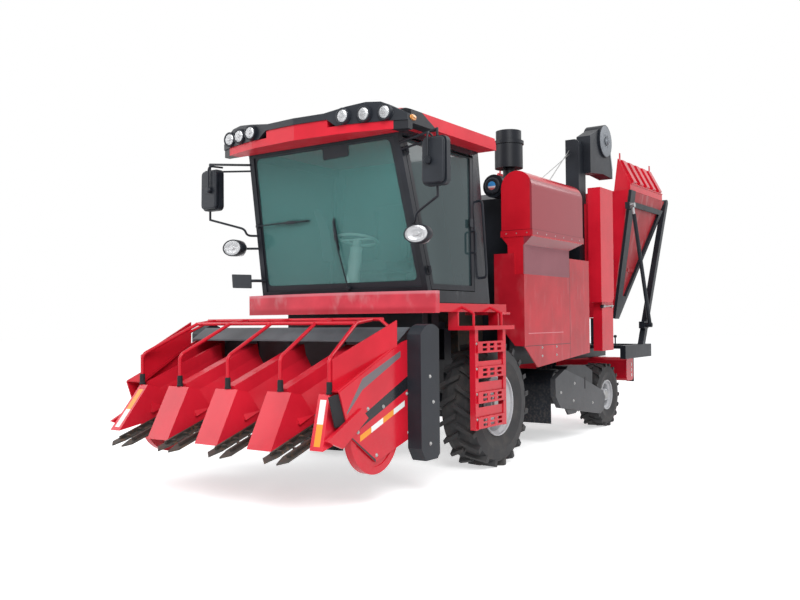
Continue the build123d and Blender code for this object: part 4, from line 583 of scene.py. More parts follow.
# Painted shade over the intake's outer side face and over the band below its flange, then a dark seam line
INTAKE_SHADE_AND_SEAM = (
    Patch((0.270, 0.040, 0.054), (1.270, 0.575, 2.400), (1.340, 1.995, 3.060), soft=0.014, share=0.9),
    Patch((0.250, 0.034, 0.050), (1.190, 0.575, 2.300), (1.340, 1.995, 2.402), soft=0.012, share=0.9),
    Patch(WINE, (0.920, 0.575, 2.468), (1.340, 1.995, 2.476), soft=0.002, share=0.8),
)
# Painted highlight along the cowl's upper edge and painted shade over its foot
COWL_HIGHLIGHT_AND_SHADE = (
    Patch((0.700, 0.270, 0.310), (-1.200, -1.500, 1.735), (1.200, -1.000, 1.790), soft=0.018, share=0.5),
    Patch((0.420, 0.014, 0.028), (-1.200, -1.500, 1.540), (1.200, -1.000, 1.640), soft=0.045, share=0.7),
)
ROOF_MARKS = (Stripe(INK, (-1.600, 3.185), (-1.030, 3.185), (0.329, 0.075), (1.000, 1.200)),)

RED = Paint("red_enamel", (0.580, 0.010, 0.026))
HEADER_RED = Paint("red_end_plates", (0.580, 0.010, 0.026), marks=END_MARKS)
ROOF_RED = Paint("red_roof", (0.580, 0.010, 0.026), Sheen.SATIN, marks=ROOF_MARKS)
NOSE_RED = Paint("red_noses", (0.600, 0.014, 0.032), marks=NOSE_MARKS)
INTAKE_RED = Paint("red_intake", (0.540, 0.010, 0.022), marks=INTAKE_SHADE_AND_SEAM)
# Paints with a film share get painted highlights on the creases of their wrap
PANEL_RED = Paint("red_panels", (0.450, 0.010, 0.022), ripple=0.7, fade=0.2, film_highlight=0.13, marks=PANEL_MARKS)
COWL_RED = Paint("red_film", (0.600, 0.042, 0.066), ripple=0.9, fade=0.25, film_highlight=0.7, marks=COWL_HIGHLIGHT_AND_SHADE)
# Red darkened as painted shade for the bin's sides, which face down, with painted highlights on their wrap
SHADED_RED = Paint("red_shaded", (0.330, 0.012, 0.020), Sheen.SATIN, film_highlight=0.4)
BLACK = Paint("black_enamel", (0.010, 0.0125, 0.018), Sheen.SATIN, dust=0.2, fade=0.3)
WRAPPED = Paint("black_film", (0.012, 0.015, 0.021), Sheen.GLOSS, ripple=0.6, fade=0.3, film_highlight=0.10)
GREY = Paint("grey_enamel", (0.085, 0.090, 0.100), Sheen.SATIN, dust=0.2, fade=0.25)
COVER_GREY = Paint("dark_grey_enamel", (0.050, 0.053, 0.060), Sheen.SATIN, dust=0.2, fade=0.25)
MAUVE = Paint("grey_screen", (0.260, 0.100, 0.118), Sheen.FLAT, fade=0.1)
SILVER = Paint("silver_enamel", (0.52, 0.53, 0.55), Sheen.SATIN, dust=0.25)
PALE = Paint("white_reflector", (0.78, 0.78, 0.76), Sheen.GLOSS, fade=0.05)
CAP_DISC = Paint("cleaner_disc", (0.040, 0.240, 0.560), Sheen.SATIN, marks=(
    Patch((0.62, 0.50, 0.52), (0.60, 0.50, 2.80), (1.00, 0.80, 2.990), soft=0.002),
    Patch((0.45, 0.12, 0.12), (0.60, 0.50, 2.80), (1.00, 0.80, 2.972), soft=0.002)))
PLASTIC = Moulded("black_moulding", (0.009, 0.0115, 0.0165))
RUBBER = Moulded("black_rubber", (0.012, 0.012, 0.014), rough=0.78)
CLOTH = Moulded("seat_cover", (0.030, 0.034, 0.038), rough=0.85)
FILM = Moulded("clear_wrap", (0.420, 0.660, 0.620), rough=0.25)
TYRE = Rubber("tyre_rubber")
STEEL = Metal("drawn_steel", (0.42, 0.42, 0.43))
ZINC = Metal("galvanised_steel", (0.34, 0.34, 0.335), rough=0.5, metallic=0.85,
             stain=(0.30, 0.31, 0.33), stained=0.5, grain=EVEN)
DULL_ZINC = Metal("dull_zinc", (0.17, 0.185, 0.205), rough=0.5, metallic=0.5,
                  stain=(0.10, 0.11, 0.12), stained=0.4, grain=EVEN)
IRON = Metal("worked_iron", (0.055, 0.050, 0.045), rough=0.55, metallic=0.55,
             stain=(0.16, 0.075, 0.030), stained=0.75, grain=EVEN)
GLASS = Glazing("cab_glass")
LAMP = Lens("lamp_glass", (0.62, 0.63, 0.65))
AMBER = Lens("amber_glass", (0.80, 0.30, 0.03))


@dataclass
class Dresser:
    """Gives every carried-over node its finish."""

    finishes: dict[str, Any]

    def dress(self, frame: dict[str, Any], shop: Workshop) -> None:
        """Puts the finishes on.

        Args:
            shop: where the finishes are made.
        """
        for node, thing in frame["nodes"].items():
            finish = self.finishes[node]
            thing.data.materials.clear()
            thing.data.materials.append(shop.finish(finish))
            log.info("dressed %s with %s", node, finish.name)


# Each row: a finish and the nodes that it dresses
FINISH_NODES: tuple[tuple[Any, str], ...] = (
    (BLACK, "chassis_frame front_axle rear_axle rear_frame husker_case stacks ear_elevator "
            "shredder_hood cab_floor cab_front_frame cab_side_right cab_door feeder_house "
            "lift_barrels bin_frame bin_barrels shredder_rotor"),
    (RED, "fuel_tank side_duct ladder guard_tubes bin_ends bin_top_panels"),
    (IRON, "engine_block knuckle_left knuckle_right row_units"),
    (PANEL_RED, "side_panel_left side_panel_right"),
    (MAUVE, "air_screens"),
    (INTAKE_RED, "intake_box"),
    (COVER_GREY, "shredder_covers"),
    (WRAPPED, "cab_rear_wall cab_quarter_left"),
    (GLASS, "cab_panes door_glass"),
    (ROOF_RED, "cab_roof"),
    (PLASTIC, "roof_brow mirrors drive_covers"),
    (LAMP, "lamps"),
    (CLOTH, "seat"),
    (FILM, "steering_column"),
    (COWL_RED, "front_cowl"),
    (TYRE, "front_tyre_left front_tyre_right rear_tyre_left rear_tyre_right"),
    (SILVER, "front_rim_left front_rim_right rear_rim_left rear_rim_right"),
    (HEADER_RED, "header_sides"),
    (GREY, "header_trough"),
    (NOSE_RED, "snouts"),
    (STEEL, "cross_auger lift_rods bin_rods"),
    (SHADED_RED, "bin_sides"),
)
NODE_FINISH = {node: look for look, nodes in FINISH_NODES for node in nodes.split()}


Outline = Sequence[Sequence[float]]
SIDES = (1, -1)
NORTH: Point = (0.0, 0.0, 1.0)
FORWARD: tuple[Point, Point] = ((1.0, 0.0, 0.0), NORTH)
LEFTWARD: tuple[Point, Point] = ((0.0, 1.0, 0.0), NORTH)
UPWARD: tuple[Point, Point] = ((1.0, 0.0, 0.0), (0.0, 1.0, 0.0))


def at(x: float, y: float, z: float) -> Vector:
    """A place given from the front axle, in the frame's own numbers."""
    return Vector((x, y + AXLE_Y, z))


def surface(origin: Vector, facing: tuple[Point, Point]) -> Matrix:
    """A surface to lay pieces on.

    Args:
        origin: a place on it.
        facing: its own X, and roughly its own Y.

    Returns:
        A matrix whose Z stands out of the surface.
    """
    across = Vector(facing[0]).normalized()
    out = across.cross(Vector(facing[1])).normalized()
    return Matrix.Translation(origin) @ Matrix((across, out.cross(across), out)).transposed().to_4x4()


def left_wall(x: float) -> Matrix:
    """The upright surface that faces left, this far from the machine's middle."""
    return surface(at(x, 0.0, 0.0), LEFTWARD)


def outward(place: Point, side: int) -> Matrix:
    """An upright surface on one side, which faces away from the machine."""
    x, y, z = place
    return surface(at(side * x, y, z), ((0.0, float(side), 0.0), NORTH))


def both(place: Point) -> list[Matrix]:
    """Surfaces that face forward, at a place on the left and at its mirror image."""
    x, y, z = place
    return [surface(at(side * x, y, z), FORWARD) for side in SIDES]


def set_out(on: Matrix, places: Outline) -> list[Matrix]:
    """The surface again at each place that is marked out on it."""
    return [on @ Matrix.Translation((*place, 0.0)) for place in places]


def ring(on: Matrix, count: int, radius: float, lift: float) -> list[Matrix]:
    """The surface again at even steps round its middle."""
    out = Matrix.Translation((radius, 0.0, lift))
    return [on @ Matrix.Rotation(math.tau * turn / count, 4, "Z") @ out for turn in range(count)]


def oblong(left: float, low: float, right: float, high: float) -> list[tuple[float, float]]:
    """The four corners of an upright rectangle."""
    return [(left, low), (right, low), (right, high), (left, high)]


def rounded(corners: Outline, radius: float, closed: bool = True, steps: int = 5) -> list[Vector]:
    """Turns sharp corners into curves.

    Args:
        corners: the outline or route.
        radius: how far from a corner its curve starts.
        closed: whether the last corner joins the first.
        steps: straight runs in each curve.

    Returns:
        The smoothed outline.
    """
    places = [Vector(corner) for corner in corners]
    line: list[Vector] = []
    for index, place in enumerate(places):
        if not closed and index in (0, len(places) - 1):
            line.append(place)
            continue
        ends = []
        for other in (places[index - 1], places[(index + 1) % len(places)]):
            away = other - place
            ends.append(place + away.normalized() * min(radius, away.length * 0.48))
        for step in range(steps + 1):
            share = step / steps
            turn = place * (2 * share * (1 - share))
            line.append(ends[0] * (1 - share) ** 2 + turn + ends[1] * share ** 2)
    return line


class Workshop:
    """The modelling steps that every added piece shares."""

    def __init__(self) -> None:
        """Starts with no finish made."""
        self.finishes: dict[str, bpy.types.Material] = {}

    def finish(self, look: Any) -> bpy.types.Material:
        """The material of a finish, made once.

        Args:
            look: the finish.

        Returns:
            Its material.
        """
        if look.name not in self.finishes:
            self.finishes[look.name] = look.make()
        return self.finishes[look.name]

    @staticmethod
    def _pick(thing: bpy.types.Object) -> None:
        """Selects one piece and nothing else.

        Args:
            thing: the piece.
        """
        bpy.ops.object.select_all(action="DESELECT")
        thing.select_set(True)
        bpy.context.view_layer.objects.active = thing

    def _settle(self, thing: bpy.types.Object, on: Matrix) -> bpy.types.Object:
        """Moves a piece to its place and applies that to its mesh.

        Args:
            thing: the piece.
            on: its place.

        Returns:
            The piece.
        """
        self._pick(thing)
        thing.matrix_world = on
        bpy.ops.object.transform_apply(location=True, rotation=True, scale=True)
        return thing

    def _mesh(self, curve: bpy.types.Curve) -> bpy.types.Object:
        """Makes a curve a mesh.

        Args:
            curve: the curve.

        Returns:
            The mesh's piece.
        """
        thing = bpy.data.objects.new(curve.name, curve)
        bpy.context.scene.collection.objects.link(thing)
        self._pick(thing)
        bpy.ops.object.convert(target="MESH")
        return bpy.context.object

    @staticmethod
    def _line(curve: bpy.types.Curve, places: Outline, closed: bool) -> None:
        """Adds one run of straight lines to a curve.

        Args:
            curve: the curve.
            places: the line's corners, flat or in space.
            closed: whether the last corner joins the first.
        """
        spline = curve.splines.new("POLY")
        spline.points.add(len(places) - 1)
        for point, place in zip(spline.points, places):
            point.co = (*place, *([0.0] * (3 - len(place))), 1.0)
        spline.use_cyclic_u = closed

    def plate(self, outline: Outline, depth: float, on: Matrix, bevel: float = 0.0,
              holes: Sequence[Outline] = ()) -> bpy.types.Object:
        """Cuts a plate to an outline.

        Args:
            outline: its edge, in the surface's X and Y.
            depth: its thickness, which stands out of the surface.
            on: the surface.
            bevel: how far its edges are rounded.
            holes: outlines cut out of it.

        Returns:
            The plate.
        """
        curve = bpy.data.curves.new("plate", "CURVE")
        curve.dimensions = "2D"
        curve.fill_mode = "BOTH"
        curve.extrude = depth / 2 - bevel
        curve.bevel_depth = bevel
        curve.offset = -bevel
        for line in (outline, *holes):
            self._line(curve, line, True)
        return self._settle(self._mesh(curve), on @ Matrix.Translation((0.0, 0.0, depth / 2)))

    def tube(self, route: Sequence[Vector], radius: float) -> bpy.types.Object:
        """Bends a round tube along a route.

        Args:
            route: the places that its middle goes through.
            radius: its outer radius.

        Returns:
            The tube.
        """
        curve = bpy.data.curves.new("tube", "CURVE")
        curve.dimensions = "3D"
        curve.bevel_depth = radius
        curve.bevel_resolution = 3
        curve.use_fill_caps = True
        self._line(curve, route, False)
        return self._mesh(curve)

    def lathe(self, profile: Outline, on: Matrix, steps: int = 28) -> bpy.types.Object:
        """Spins a profile about the surface's Z.

        Args:
            profile: radius and height of each corner.
            on: the surface.
            steps: sides of the turned piece.

        Returns:
            The turned piece.
        """
        curve = bpy.data.curves.new("lathe", "CURVE")
        curve.dimensions = "3D"
        self._line(curve, [(radius, 0.0, height) for radius, height in profile], False)
        thing = self._mesh(curve)
        bpy.ops.object.mode_set(mode="EDIT")
        bpy.ops.mesh.select_all(action="SELECT")
        bpy.ops.mesh.spin(steps=steps, angle=math.tau, center=(0.0, 0.0, 0.0), axis=NORTH)
        bpy.ops.mesh.select_all(action="SELECT")
        bpy.ops.mesh.remove_doubles(threshold=0.00002)
        bpy.ops.mesh.normals_make_consistent(inside=False)
        bpy.ops.object.mode_set(mode="OBJECT")
        return self._settle(thing, on)

    def block(self, size: Point, on: Matrix, bevel: float, swell: int = 0) -> bpy.types.Object:
        """Rounds a block that stands on a surface.

        Args:
            size: its three sizes.
            on: the surface.
            bevel: how far its edges are rounded.
            swell: levels of subdivision, which crown a pad.

        Returns:
            The block.
        """
        bpy.ops.object.select_all(action="DESELECT")
        bpy.ops.mesh.primitive_cube_add(size=1.0)
        thing = bpy.context.object
        bpy.ops.object.mode_set(mode="EDIT")
        bpy.ops.transform.resize(value=size)
        bpy.ops.mesh.bevel(offset=bevel, segments=2, affect="EDGES")
        bpy.ops.object.mode_set(mode="OBJECT")
        if swell:
            crown = thing.modifiers.new("crown", "SUBSURF")
            crown.levels = crown.render_levels = swell
            bpy.ops.object.modifier_apply(modifier=crown.name)
        return self._settle(thing, on @ Matrix.Translation((0.0, 0.0, size[2] / 2)))

    def join(self, things: Sequence[bpy.types.Object]) -> bpy.types.Object:
        """Joins like pieces into one.

        Args:
            things: the pieces.

        Returns:
            The joined piece.
        """
        bpy.ops.object.select_all(action="DESELECT")
        for thing in things:
            thing.select_set(True)
        bpy.context.view_layer.objects.active = things[0]
        if len(things) > 1:
            bpy.ops.object.join()
        return bpy.context.view_layer.objects.active

    def copies(self, model: bpy.types.Object, places: Sequence[Matrix]) -> bpy.types.Object:
        """Sets copies of a model on surfaces, each with its own mesh.

        Args:
            model: the piece to copy, which is then removed.
            places: the surfaces.

        Returns:
            The copies as one piece.
        """
        made = []
        for place in places:
            twin = model.copy()
            twin.data = model.data.copy()
            twin.data.transform(place)
            bpy.context.scene.collection.objects.link(twin)
            made.append(twin)
        bpy.data.objects.remove(model)
        return self.join(made)

    def both_sides(self, thing: bpy.types.Object) -> bpy.types.Object:
        """Adds the piece's mirror image on the other side of the machine.

        Args:
            thing: the piece on the left side.

        Returns:
            Both as one piece.
        """
        twin = thing.copy()
        twin.data = thing.data.copy()
        twin.data.transform(Matrix.Scale(-1.0, 4, (1.0, 0.0, 0.0)))
        twin.data.flip_normals()
        bpy.context.scene.collection.objects.link(twin)
        return self.join([thing, twin])

    def bolts(self, places: Sequence[Matrix], radius: float = 0.011) -> bpy.types.Object:
        """Hexagon bolts on washers.

        Args:
            places: the surfaces that they stand on.
            radius: of their heads.

        Returns:
            The bolts as one piece.
        """
        head = self.lathe([(0.0, radius * 0.9), (radius * 0.75, radius * 0.9), (radius, radius * 0.6),
                           (radius, radius * 0.2)], Matrix(), steps=6)
        washer = self.lathe([(0.0, radius * 0.25), (radius * 1.35, radius * 0.25), (radius * 1.5, 0.0)],
                            Matrix(), steps=14)
        return self.copies(self.join([head, washer]), places)

    def keep(self, name: str, thing: bpy.types.Object, look: Any, body: str) -> bpy.types.Object:
        """Names a finished piece, dresses it and sets it on its body.

        Args:
            name: the piece's plain name.
            thing: the piece.
            look: its finish.
            body: the moving body that it rides on.

        Returns:
            The piece.
        """
        self._pick(thing)
        bpy.ops.object.shade_smooth_by_angle(angle=math.radians(32))
        thing.name = thing.data.name = name
        thing.data.materials.clear()
        thing.data.materials.append(self.finish(look))
        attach(thing, body)
        log.info("%s: %d faces on %s", name, len(thing.data.polygons), body)
        return thing


@dataclass
class HeaderTrim:
    """Rubber sleeves, seal, skid webs, bolts and ribs of the row header."""

    tube_x: tuple[float, ...] = (1.112, 0.6, 0.0, -0.6, -1.112)
    tube_y: float = -2.625
    tube_r: float = 0.016
    sleeve_z: float = 0.932
    sleeve_h: float = 0.095
    sleeve_play: float = 0.001
    plate_x: float = 1.262
    cover_x: float = 1.400
    seal_in: float = 0.023
    skid: tuple[float, float] = (-2.214, 0.590)
    skid_r: float = 0.272
    skid_x: float = 1.236
    skid_steps: int = 24
    rib: Point = (0.040, 0.72, 0.024)
    rib_x: tuple[float, ...] = (0.34, 0.78)
    trough_y: float = -1.460
    trough_z: float = 1.00
    # y and z of each bolt on an end plate, then on a drive cover
    plate_bolts: Outline = ((-2.33, 0.80), (-1.74, 1.06), (-2.12, 0.80), (-1.78, 0.88), (-2.22, 0.42),
                            (-2.46, 0.63), (-1.76, 0.55))
    cover_bolts: Outline = ((-1.63, 1.02), (-1.58, 0.80), (-1.63, 0.45))

    def sleeves(self, shop: Workshop) -> None:
        """Slips a rubber sleeve over the foot of each guard tube.

        Args:
            shop: the modelling steps.
        """
        grip = self.tube_r + self.sleeve_play
        top = self.sleeve_h
        profile = [(grip, 0.0), (grip + 0.010, 0.0), (grip + 0.011, 0.012), (grip + 0.007, 0.018),
                   (grip + 0.007, top - 0.015), (grip + 0.004, top), (grip, top)]
        stands = [Matrix.Translation(at(x, self.tube_y, self.sleeve_z)) for x in self.tube_x]
        sleeves = shop.copies(shop.lathe(profile, Matrix(), steps=20), stands)
        shop.keep("tube_sleeves", sleeves, RUBBER, "header")

    def sheets(self, shop: Workshop) -> None:
        """Cuts the near side's seal and the half disc that closes each skid's ring.

        Args:
            shop: the modelling steps.
        """
        strip = [(-2.800, 0.925), (-2.720, 0.940), (-2.600, 0.940), (-2.600, 0.700), (-2.725, 0.690)]
        seal = shop.plate(strip, depth=0.010, on=left_wall(self.plate_x - self.seal_in), bevel=0.002)
        shop.keep("end_seal", seal, RUBBER, "header")
        y, z = self.skid
        turns = [math.pi * (1 + step / self.skid_steps) for step in range(self.skid_steps + 1)]
        rim = [(y + self.skid_r * math.cos(turn), z + self.skid_r * math.sin(turn)) for turn in turns]
        web = shop.plate(rim, depth=0.006, on=left_wall(self.skid_x))
        shop.keep("skid_webs", shop.both_sides(web), RED, "header")

    def fixings(self, shop: Workshop) -> None:
        """Sets the bolts of the end plates and the ribs of the trough.

        Args:
            shop: the modelling steps.
        """
        places = set_out(left_wall(self.plate_x), self.plate_bolts)
        places += set_out(left_wall(self.cover_x), self.cover_bolts)
        shop.keep("header_bolts", shop.both_sides(shop.bolts(places)), ZINC, "header")
        seats = [seat for x in self.rib_x for seat in both((x, self.trough_y, self.trough_z))]
        ribs = [shop.block(self.rib, seat, bevel=0.006) for seat in seats]
        shop.keep("trough_ribs", shop.join(ribs), GREY, "header")

    def build(self, shop: Workshop) -> None:
        """Makes the header's pieces.

        Args:
            shop: the modelling steps.
        """
        self.sleeves(shop)
        self.sheets(shop)
        self.fixings(shop)


@dataclass
class Windscreen:
    """Printed border, visor, levers and wipers of the windscreen."""

    sill_y: float = -1.100
    low: tuple[float, float] = (0.985, 0.031)
    high: tuple[float, float] = (0.881, 1.432)
    glass_in: float = 0.020
    levers_in: float = 0.16
    arm_out: float = 0.004
    # Each row: an arm's foot, its elbow and its blade's end on the glass
    arms: tuple[Outline, ...] = (((-0.955, 0.735), (-0.70, 0.742), (-0.30, 0.742)),
                                 ((0.125, 0.040), (0.060, 0.45), (0.052, 0.72)))
    blade_share: float = 1.2

    def glass(self, lift: float) -> Matrix:
        """The windscreen's surface, raised or sunk by a little."""
        plane = surface(at(0.0, self.sill_y, SILL_Z), ((1.0, 0.0, 0.0), (0.0, -SCREEN_LEAN, 1.0)))
        return plane @ Matrix.Translation((0.0, 0.0, lift))

    def trim(self, shop: Workshop) -> None:
        """Cuts the printed border, and the visor and levers behind the glass.

        Args:
            shop: the modelling steps.
        """
        (low, foot), (high, top) = self.low, self.high
        edge = [(-low, foot), (low, foot), (high, top), (-high, top)]
        inner = [(-low + 0.026, foot + 0.062), (low - 0.050, foot + 0.062), (high - 0.056, top - 0.016),
                 (-high + 0.022, top - 0.016)]
        border = shop.plate(edge, depth=0.004, on=self.glass(-self.glass_in + 0.001),
                            holes=[rounded(inner, radius=0.06)])
        shop.keep("screen_border", border, PLASTIC, "chassis")
        flap = [(0.02, top - 0.125), (0.33, top - 0.115), (0.34, top), (0.03, top)]
        visor = shop.plate(rounded(flap, radius=0.012), depth=0.006,
                           on=self.glass(-self.glass_in + 0.002), bevel=0.001)
        stem = [(-0.30, 0.84), (-0.21, 0.84), (-0.13, 0.66), (-0.12, 0.30), (-0.27, 0.30), (-0.25, 0.62)]
        levers = shop.plate(rounded(stem, radius=0.05), depth=0.030,
                            on=self.glass(-self.levers_in), bevel=0.006)
        shop.keep("screen_visor", shop.join([visor, levers]), PLASTIC, "chassis")

    def wipers(self, shop: Workshop) -> None:
        """Bends each wiper's arm and hangs its blade.

        Args:
            shop: the modelling steps.
        """
        boss = [(0.0, 0.026), (0.018, 0.024), (0.024, 0.014), (0.026, 0.0)]
        bits = []
        for foot, elbow, tip in self.arms:
            base = self.glass(self.arm_out)
            route = [base @ Vector((*place, 0.008)) for place in (foot, elbow, tip)]
            bits.append(shop.tube(route, radius=0.007))
            bits.append(shop.lathe(boss, base @ Matrix.Translation((*foot, 0.0)), steps=18))
            run = Vector(tip) - Vector(elbow)
            turn = Matrix.Rotation(math.atan2(run.y, run.x), 4, "Z")
            middle = (Vector(elbow) + Vector(tip)) / 2
            blade = self.glass(-self.glass_in + 0.006) @ Matrix.Translation((*middle, 0.0)) @ turn
            bits.append(shop.block((run.length * self.blade_share, 0.016, 0.014), blade, bevel=0.004))
            clip = blade @ Matrix.Translation((0.0, 0.0, 0.010))
            bits.append(shop.block((0.12, 0.034, 0.022), clip, bevel=0.007))
        shop.keep("wipers", shop.join(bits), PLASTIC, "chassis")

    def build(self, shop: Workshop) -> None:
        """Makes the windscreen's pieces.

        Args:
            shop: the modelling steps.
        """
        self.trim(shop)
        self.wipers(shop)


@dataclass
class CabLamps:
    """Domed work lamps with bezels, oval headlamps and amber markers."""

    work_places: Outline = ((0.575, -1.765), (0.775, -1.715), (0.965, -1.660))
    work_z: float = 3.345
    work_r: float = 0.062
    headlamp: Point = (1.151, -1.434, 2.270)
    head_oval: tuple[float, float] = (1.55, 0.98)
    marker: Point = (1.146, -1.470, 3.305)
    marker_oval: tuple[float, float] = (1.35, 0.72)

    def build(self, shop: Workshop) -> None:
        """Makes the cab's lamps.

        Args:
            shop: the modelling steps.
        """
        r = self.work_r
        works = [seat for x, y in self.work_places for seat in both((x, y, self.work_z))]
        heads = [seat @ Matrix.Diagonal((*self.head_oval, 1.0, 1.0)) for seat in both(self.headlamp)]
        ends = [outward(self.marker, side) @ Matrix.Diagonal((*self.marker_oval, 1.0, 1.0))
                for side in SIDES]
        bezel = [(r - 0.005, 0.005), (r + 0.002, 0.010), (r + 0.011, 0.006), (r + 0.013, -0.030),
                 (r + 0.001, -0.030)]
        dome = [(0.0, 0.016), (0.016, 0.016), (0.020, 0.010), (0.034, 0.010), (0.050, 0.007),
                (r - 0.004, 0.002)]
        bowl = [(0.0, 0.022), (0.020, 0.022), (0.026, 0.012), (0.046, 0.012), (0.060, 0.020),
                (0.082, 0.014)]
        shell = [(0.078, 0.018), (0.086, 0.020), (0.090, 0.008), (0.088, -0.050), (0.070, -0.095),
                 (0.035, -0.125)]
        drop = [(0.0, 0.014), (0.020, 0.013), (0.034, 0.008), (0.040, 0.0)]
        # name, profile, sides of the turned piece, places, finish, slot
        rows = (("lamp_bezels", bezel, 28, works, PLASTIC, "black_plastic"),
                ("lamp_lenses", dome, 28, works, LAMP, "lamp"),
                ("headlamp_lenses", bowl, 36, heads, LAMP, "lamp"),
                ("headlamp_shells", shell, 36, heads, PLASTIC, "black_plastic"),
                ("marker_lamps", drop, 28, ends, AMBER, "lamp"))
        for name, profile, steps, places, look, slot in rows:
            turned = shop.lathe(profile, Matrix(), steps)
            shop.keep(name, shop.copies(turned, places), look, "chassis")


@dataclass
class Mirrors:
    """Moulded backs, clamps and braces of the two mirrors."""

    place: Point = (1.392, -1.511, 2.885)
    post_in: float = 0.03
    post_y: float = -0.066
    post_h: float = 0.245
    # How far out the near and the far upright stand
    upright_x: tuple[float, float] = (1.365, 1.505)
    upright_y: float = -1.420
    brace_z: float = 2.590
    brace_foot: tuple[Point, ...] = ((1.080, -1.335, 2.470), (1.060, -1.320, 2.400),
                                     (0.985, -1.235, 2.400))
    bar_z: float = 3.105
    bar_foot: Point = (0.945, -1.372, 3.060)

    def build(self, shop: Workshop) -> None:
        """Makes the mirrors' pieces.

        Args:
            shop: the modelling steps.
        """
        x, y, z = self.place
        back = rounded([(-0.112, -0.200), (0.112, -0.200), (0.118, 0.200), (-0.104, 0.200)], radius=0.05)
        clamp = [(0.0, 0.088), (0.024, 0.086), (0.033, 0.074), (0.033, 0.050), (0.026, 0.040)]
        backs, stays = [], []
        for side, upright, seat in zip(SIDES, self.upright_x, both(self.place)):
            backs.append(shop.plate(back, depth=0.046, on=seat, bevel=0.018))
            grip = seat @ Matrix.Translation((-side * self.post_in, -0.005, 0.0))
            stays.append(shop.lathe(clamp, grip, steps=20))
            post_x, post_y, top = side * (x - self.post_in), y + self.post_y, z + self.post_h
            post = [at(post_x, post_y, z), at(post_x, post_y, top), at(side * (x - 0.08), y + 0.09, top)]
            stays.append(shop.tube(rounded(post, radius=0.05, closed=False), radius=0.010))
            brace = [at(side * upright, self.upright_y, self.brace_z),
                     *(at(side * out, along, up) for out, along, up in self.brace_foot)]
            stays.append(shop.tube(rounded(brace, radius=0.05, closed=False), radius=0.012))
            out, along, up = self.bar_foot
            bar = [at(side * upright, self.upright_y, self.bar_z), at(side * out, along, up)]
            stays.append(shop.tube(bar, radius=0.010))
        shop.keep("mirror_backs", shop.join(backs), PLASTIC, "chassis")
        shop.keep("mirror_clamps", shop.join(stays), BLACK, "chassis")


@dataclass
class CabGrips:
    """The board on the far side, the door's handle and the rear grab rail."""

    board_y: float = -1.235
    arm: tuple[Point, ...] = ((-1.085, -1.240, 1.930), (-1.030, -1.220, 1.930), (-0.985, -1.125, 1.930))
    wall_x: float = 1.047
    wall_lean: float = 0.0757
    # Along the wall, up it and out of it
    pull: Outline = ((-0.215, 0.40, 0.0), (-0.215, 0.40, 0.045), (-0.185, 0.62, 0.045),
                     (-0.185, 0.62, 0.0))
    rail: Outline = ((-0.055, 0.15, 0.0), (-0.055, 0.15, 0.060), (-0.030, 0.95, 0.060),
                     (-0.030, 0.95, 0.0))

    def build(self, shop: Workshop) -> None:
        """Makes the board and the grips.

        Args:
            shop: the modelling steps.
        """
        flag = [(-1.350, 1.862), (-1.075, 1.850), (-1.080, 1.995), (-1.362, 2.010)]
        front = surface(at(0.0, self.board_y, 0.0), FORWARD)
        board = shop.plate(rounded(flag, radius=0.012), depth=0.014, on=front, bevel=0.003)
        arm = shop.tube([at(*place) for place in self.arm], radius=0.016)
        shop.keep("far_board", shop.join([board, arm]), PLASTIC, "chassis")

        wall = surface(at(self.wall_x, 0.0, SILL_Z), ((0.0, 1.0, 0.0), (-self.wall_lean, 0.0, 1.0)))
        pull, rail = ([wall @ Vector(place) for place in route] for route in (self.pull, self.rail))
        grip = shop.tube(rounded(pull, radius=0.03, closed=False), radius=0.011)
        case = [(-0.235, 0.66), (-0.175, 0.66), (-0.165, 0.75), (-0.225, 0.75)]
        lock = shop.plate(rounded(case, radius=0.012), depth=0.016, on=wall, bevel=0.004)
        shop.keep("door_handle", shop.join([grip, lock]), PLASTIC, "door")
        bar = shop.tube(rounded(rail, radius=0.06, closed=False), radius=0.013)
        shop.keep("rear_grab_rail", bar, BLACK, "chassis")


@dataclass
class DriverSeat:
    """The padded seat, which stands for its plain solid, its plinth and the wrapped steering column."""

    back_y: float = -0.090
    cushion: Point = (0.50, 0.52, 0.125)
    cushion_ahead: float = 0.300
    cushion_z: float = 2.000
    rest: Point = (0.48, 0.64, 0.120)
    rest_z: float = 2.440
    bolster: Point = (0.075, 0.52, 0.070)
    bolster_x: float = 0.195
    bolster_ahead: float = 0.105
    bolster_z: float = 2.430
    plinth: Point = (0.40, 0.38, 0.34)
    plinth_ahead: float = 0.290
    plinth_z: float = 1.660
    column: Point = (0.0, -0.930, 1.710)
    column_facing: tuple[Point, Point] = ((1.0, 0.0, 0.0), (0.0, 0.67, -0.14))

    def build(self, shop: Workshop) -> None:
        """Makes the seat's and the column's pieces.

        Args:
            shop: the modelling steps.
        """
        base = surface(at(0.0, self.back_y - self.cushion_ahead, self.cushion_z), UPWARD)
        cushion = shop.block(self.cushion, base, bevel=0.035, swell=2)
        back = surface(at(0.0, self.back_y, self.rest_z), FORWARD)
        rest = shop.block(self.rest, back, bevel=0.035, swell=2)
        flanks = both((self.bolster_x, self.back_y - self.bolster_ahead, self.bolster_z))
        bolsters = [shop.block(self.bolster, flank, bevel=0.025, swell=2) for flank in flanks]
        pads = shop.keep("seat_pads", shop.join([cushion, rest, *bolsters]), CLOTH, "chassis")
        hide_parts("seat")
        sleeve = [(0.046, 0.0), (0.070, 0.004), (0.063, 0.090), (0.072, 0.190), (0.062, 0.300),
                  (0.071, 0.400), (0.060, 0.500), (0.068, 0.545), (0.046, 0.560)]
        wrap = shop.lathe(sleeve, surface(at(*self.column), self.column_facing))
        shop.keep("column_wrap", wrap, FILM, "chassis")
        floor = surface(at(0.0, self.back_y - self.plinth_ahead, self.plinth_z), UPWARD)
        plinth = shop.block(self.plinth, floor, bevel=0.02)
        shop.keep("seat_plinth", plinth, PLASTIC, "chassis")


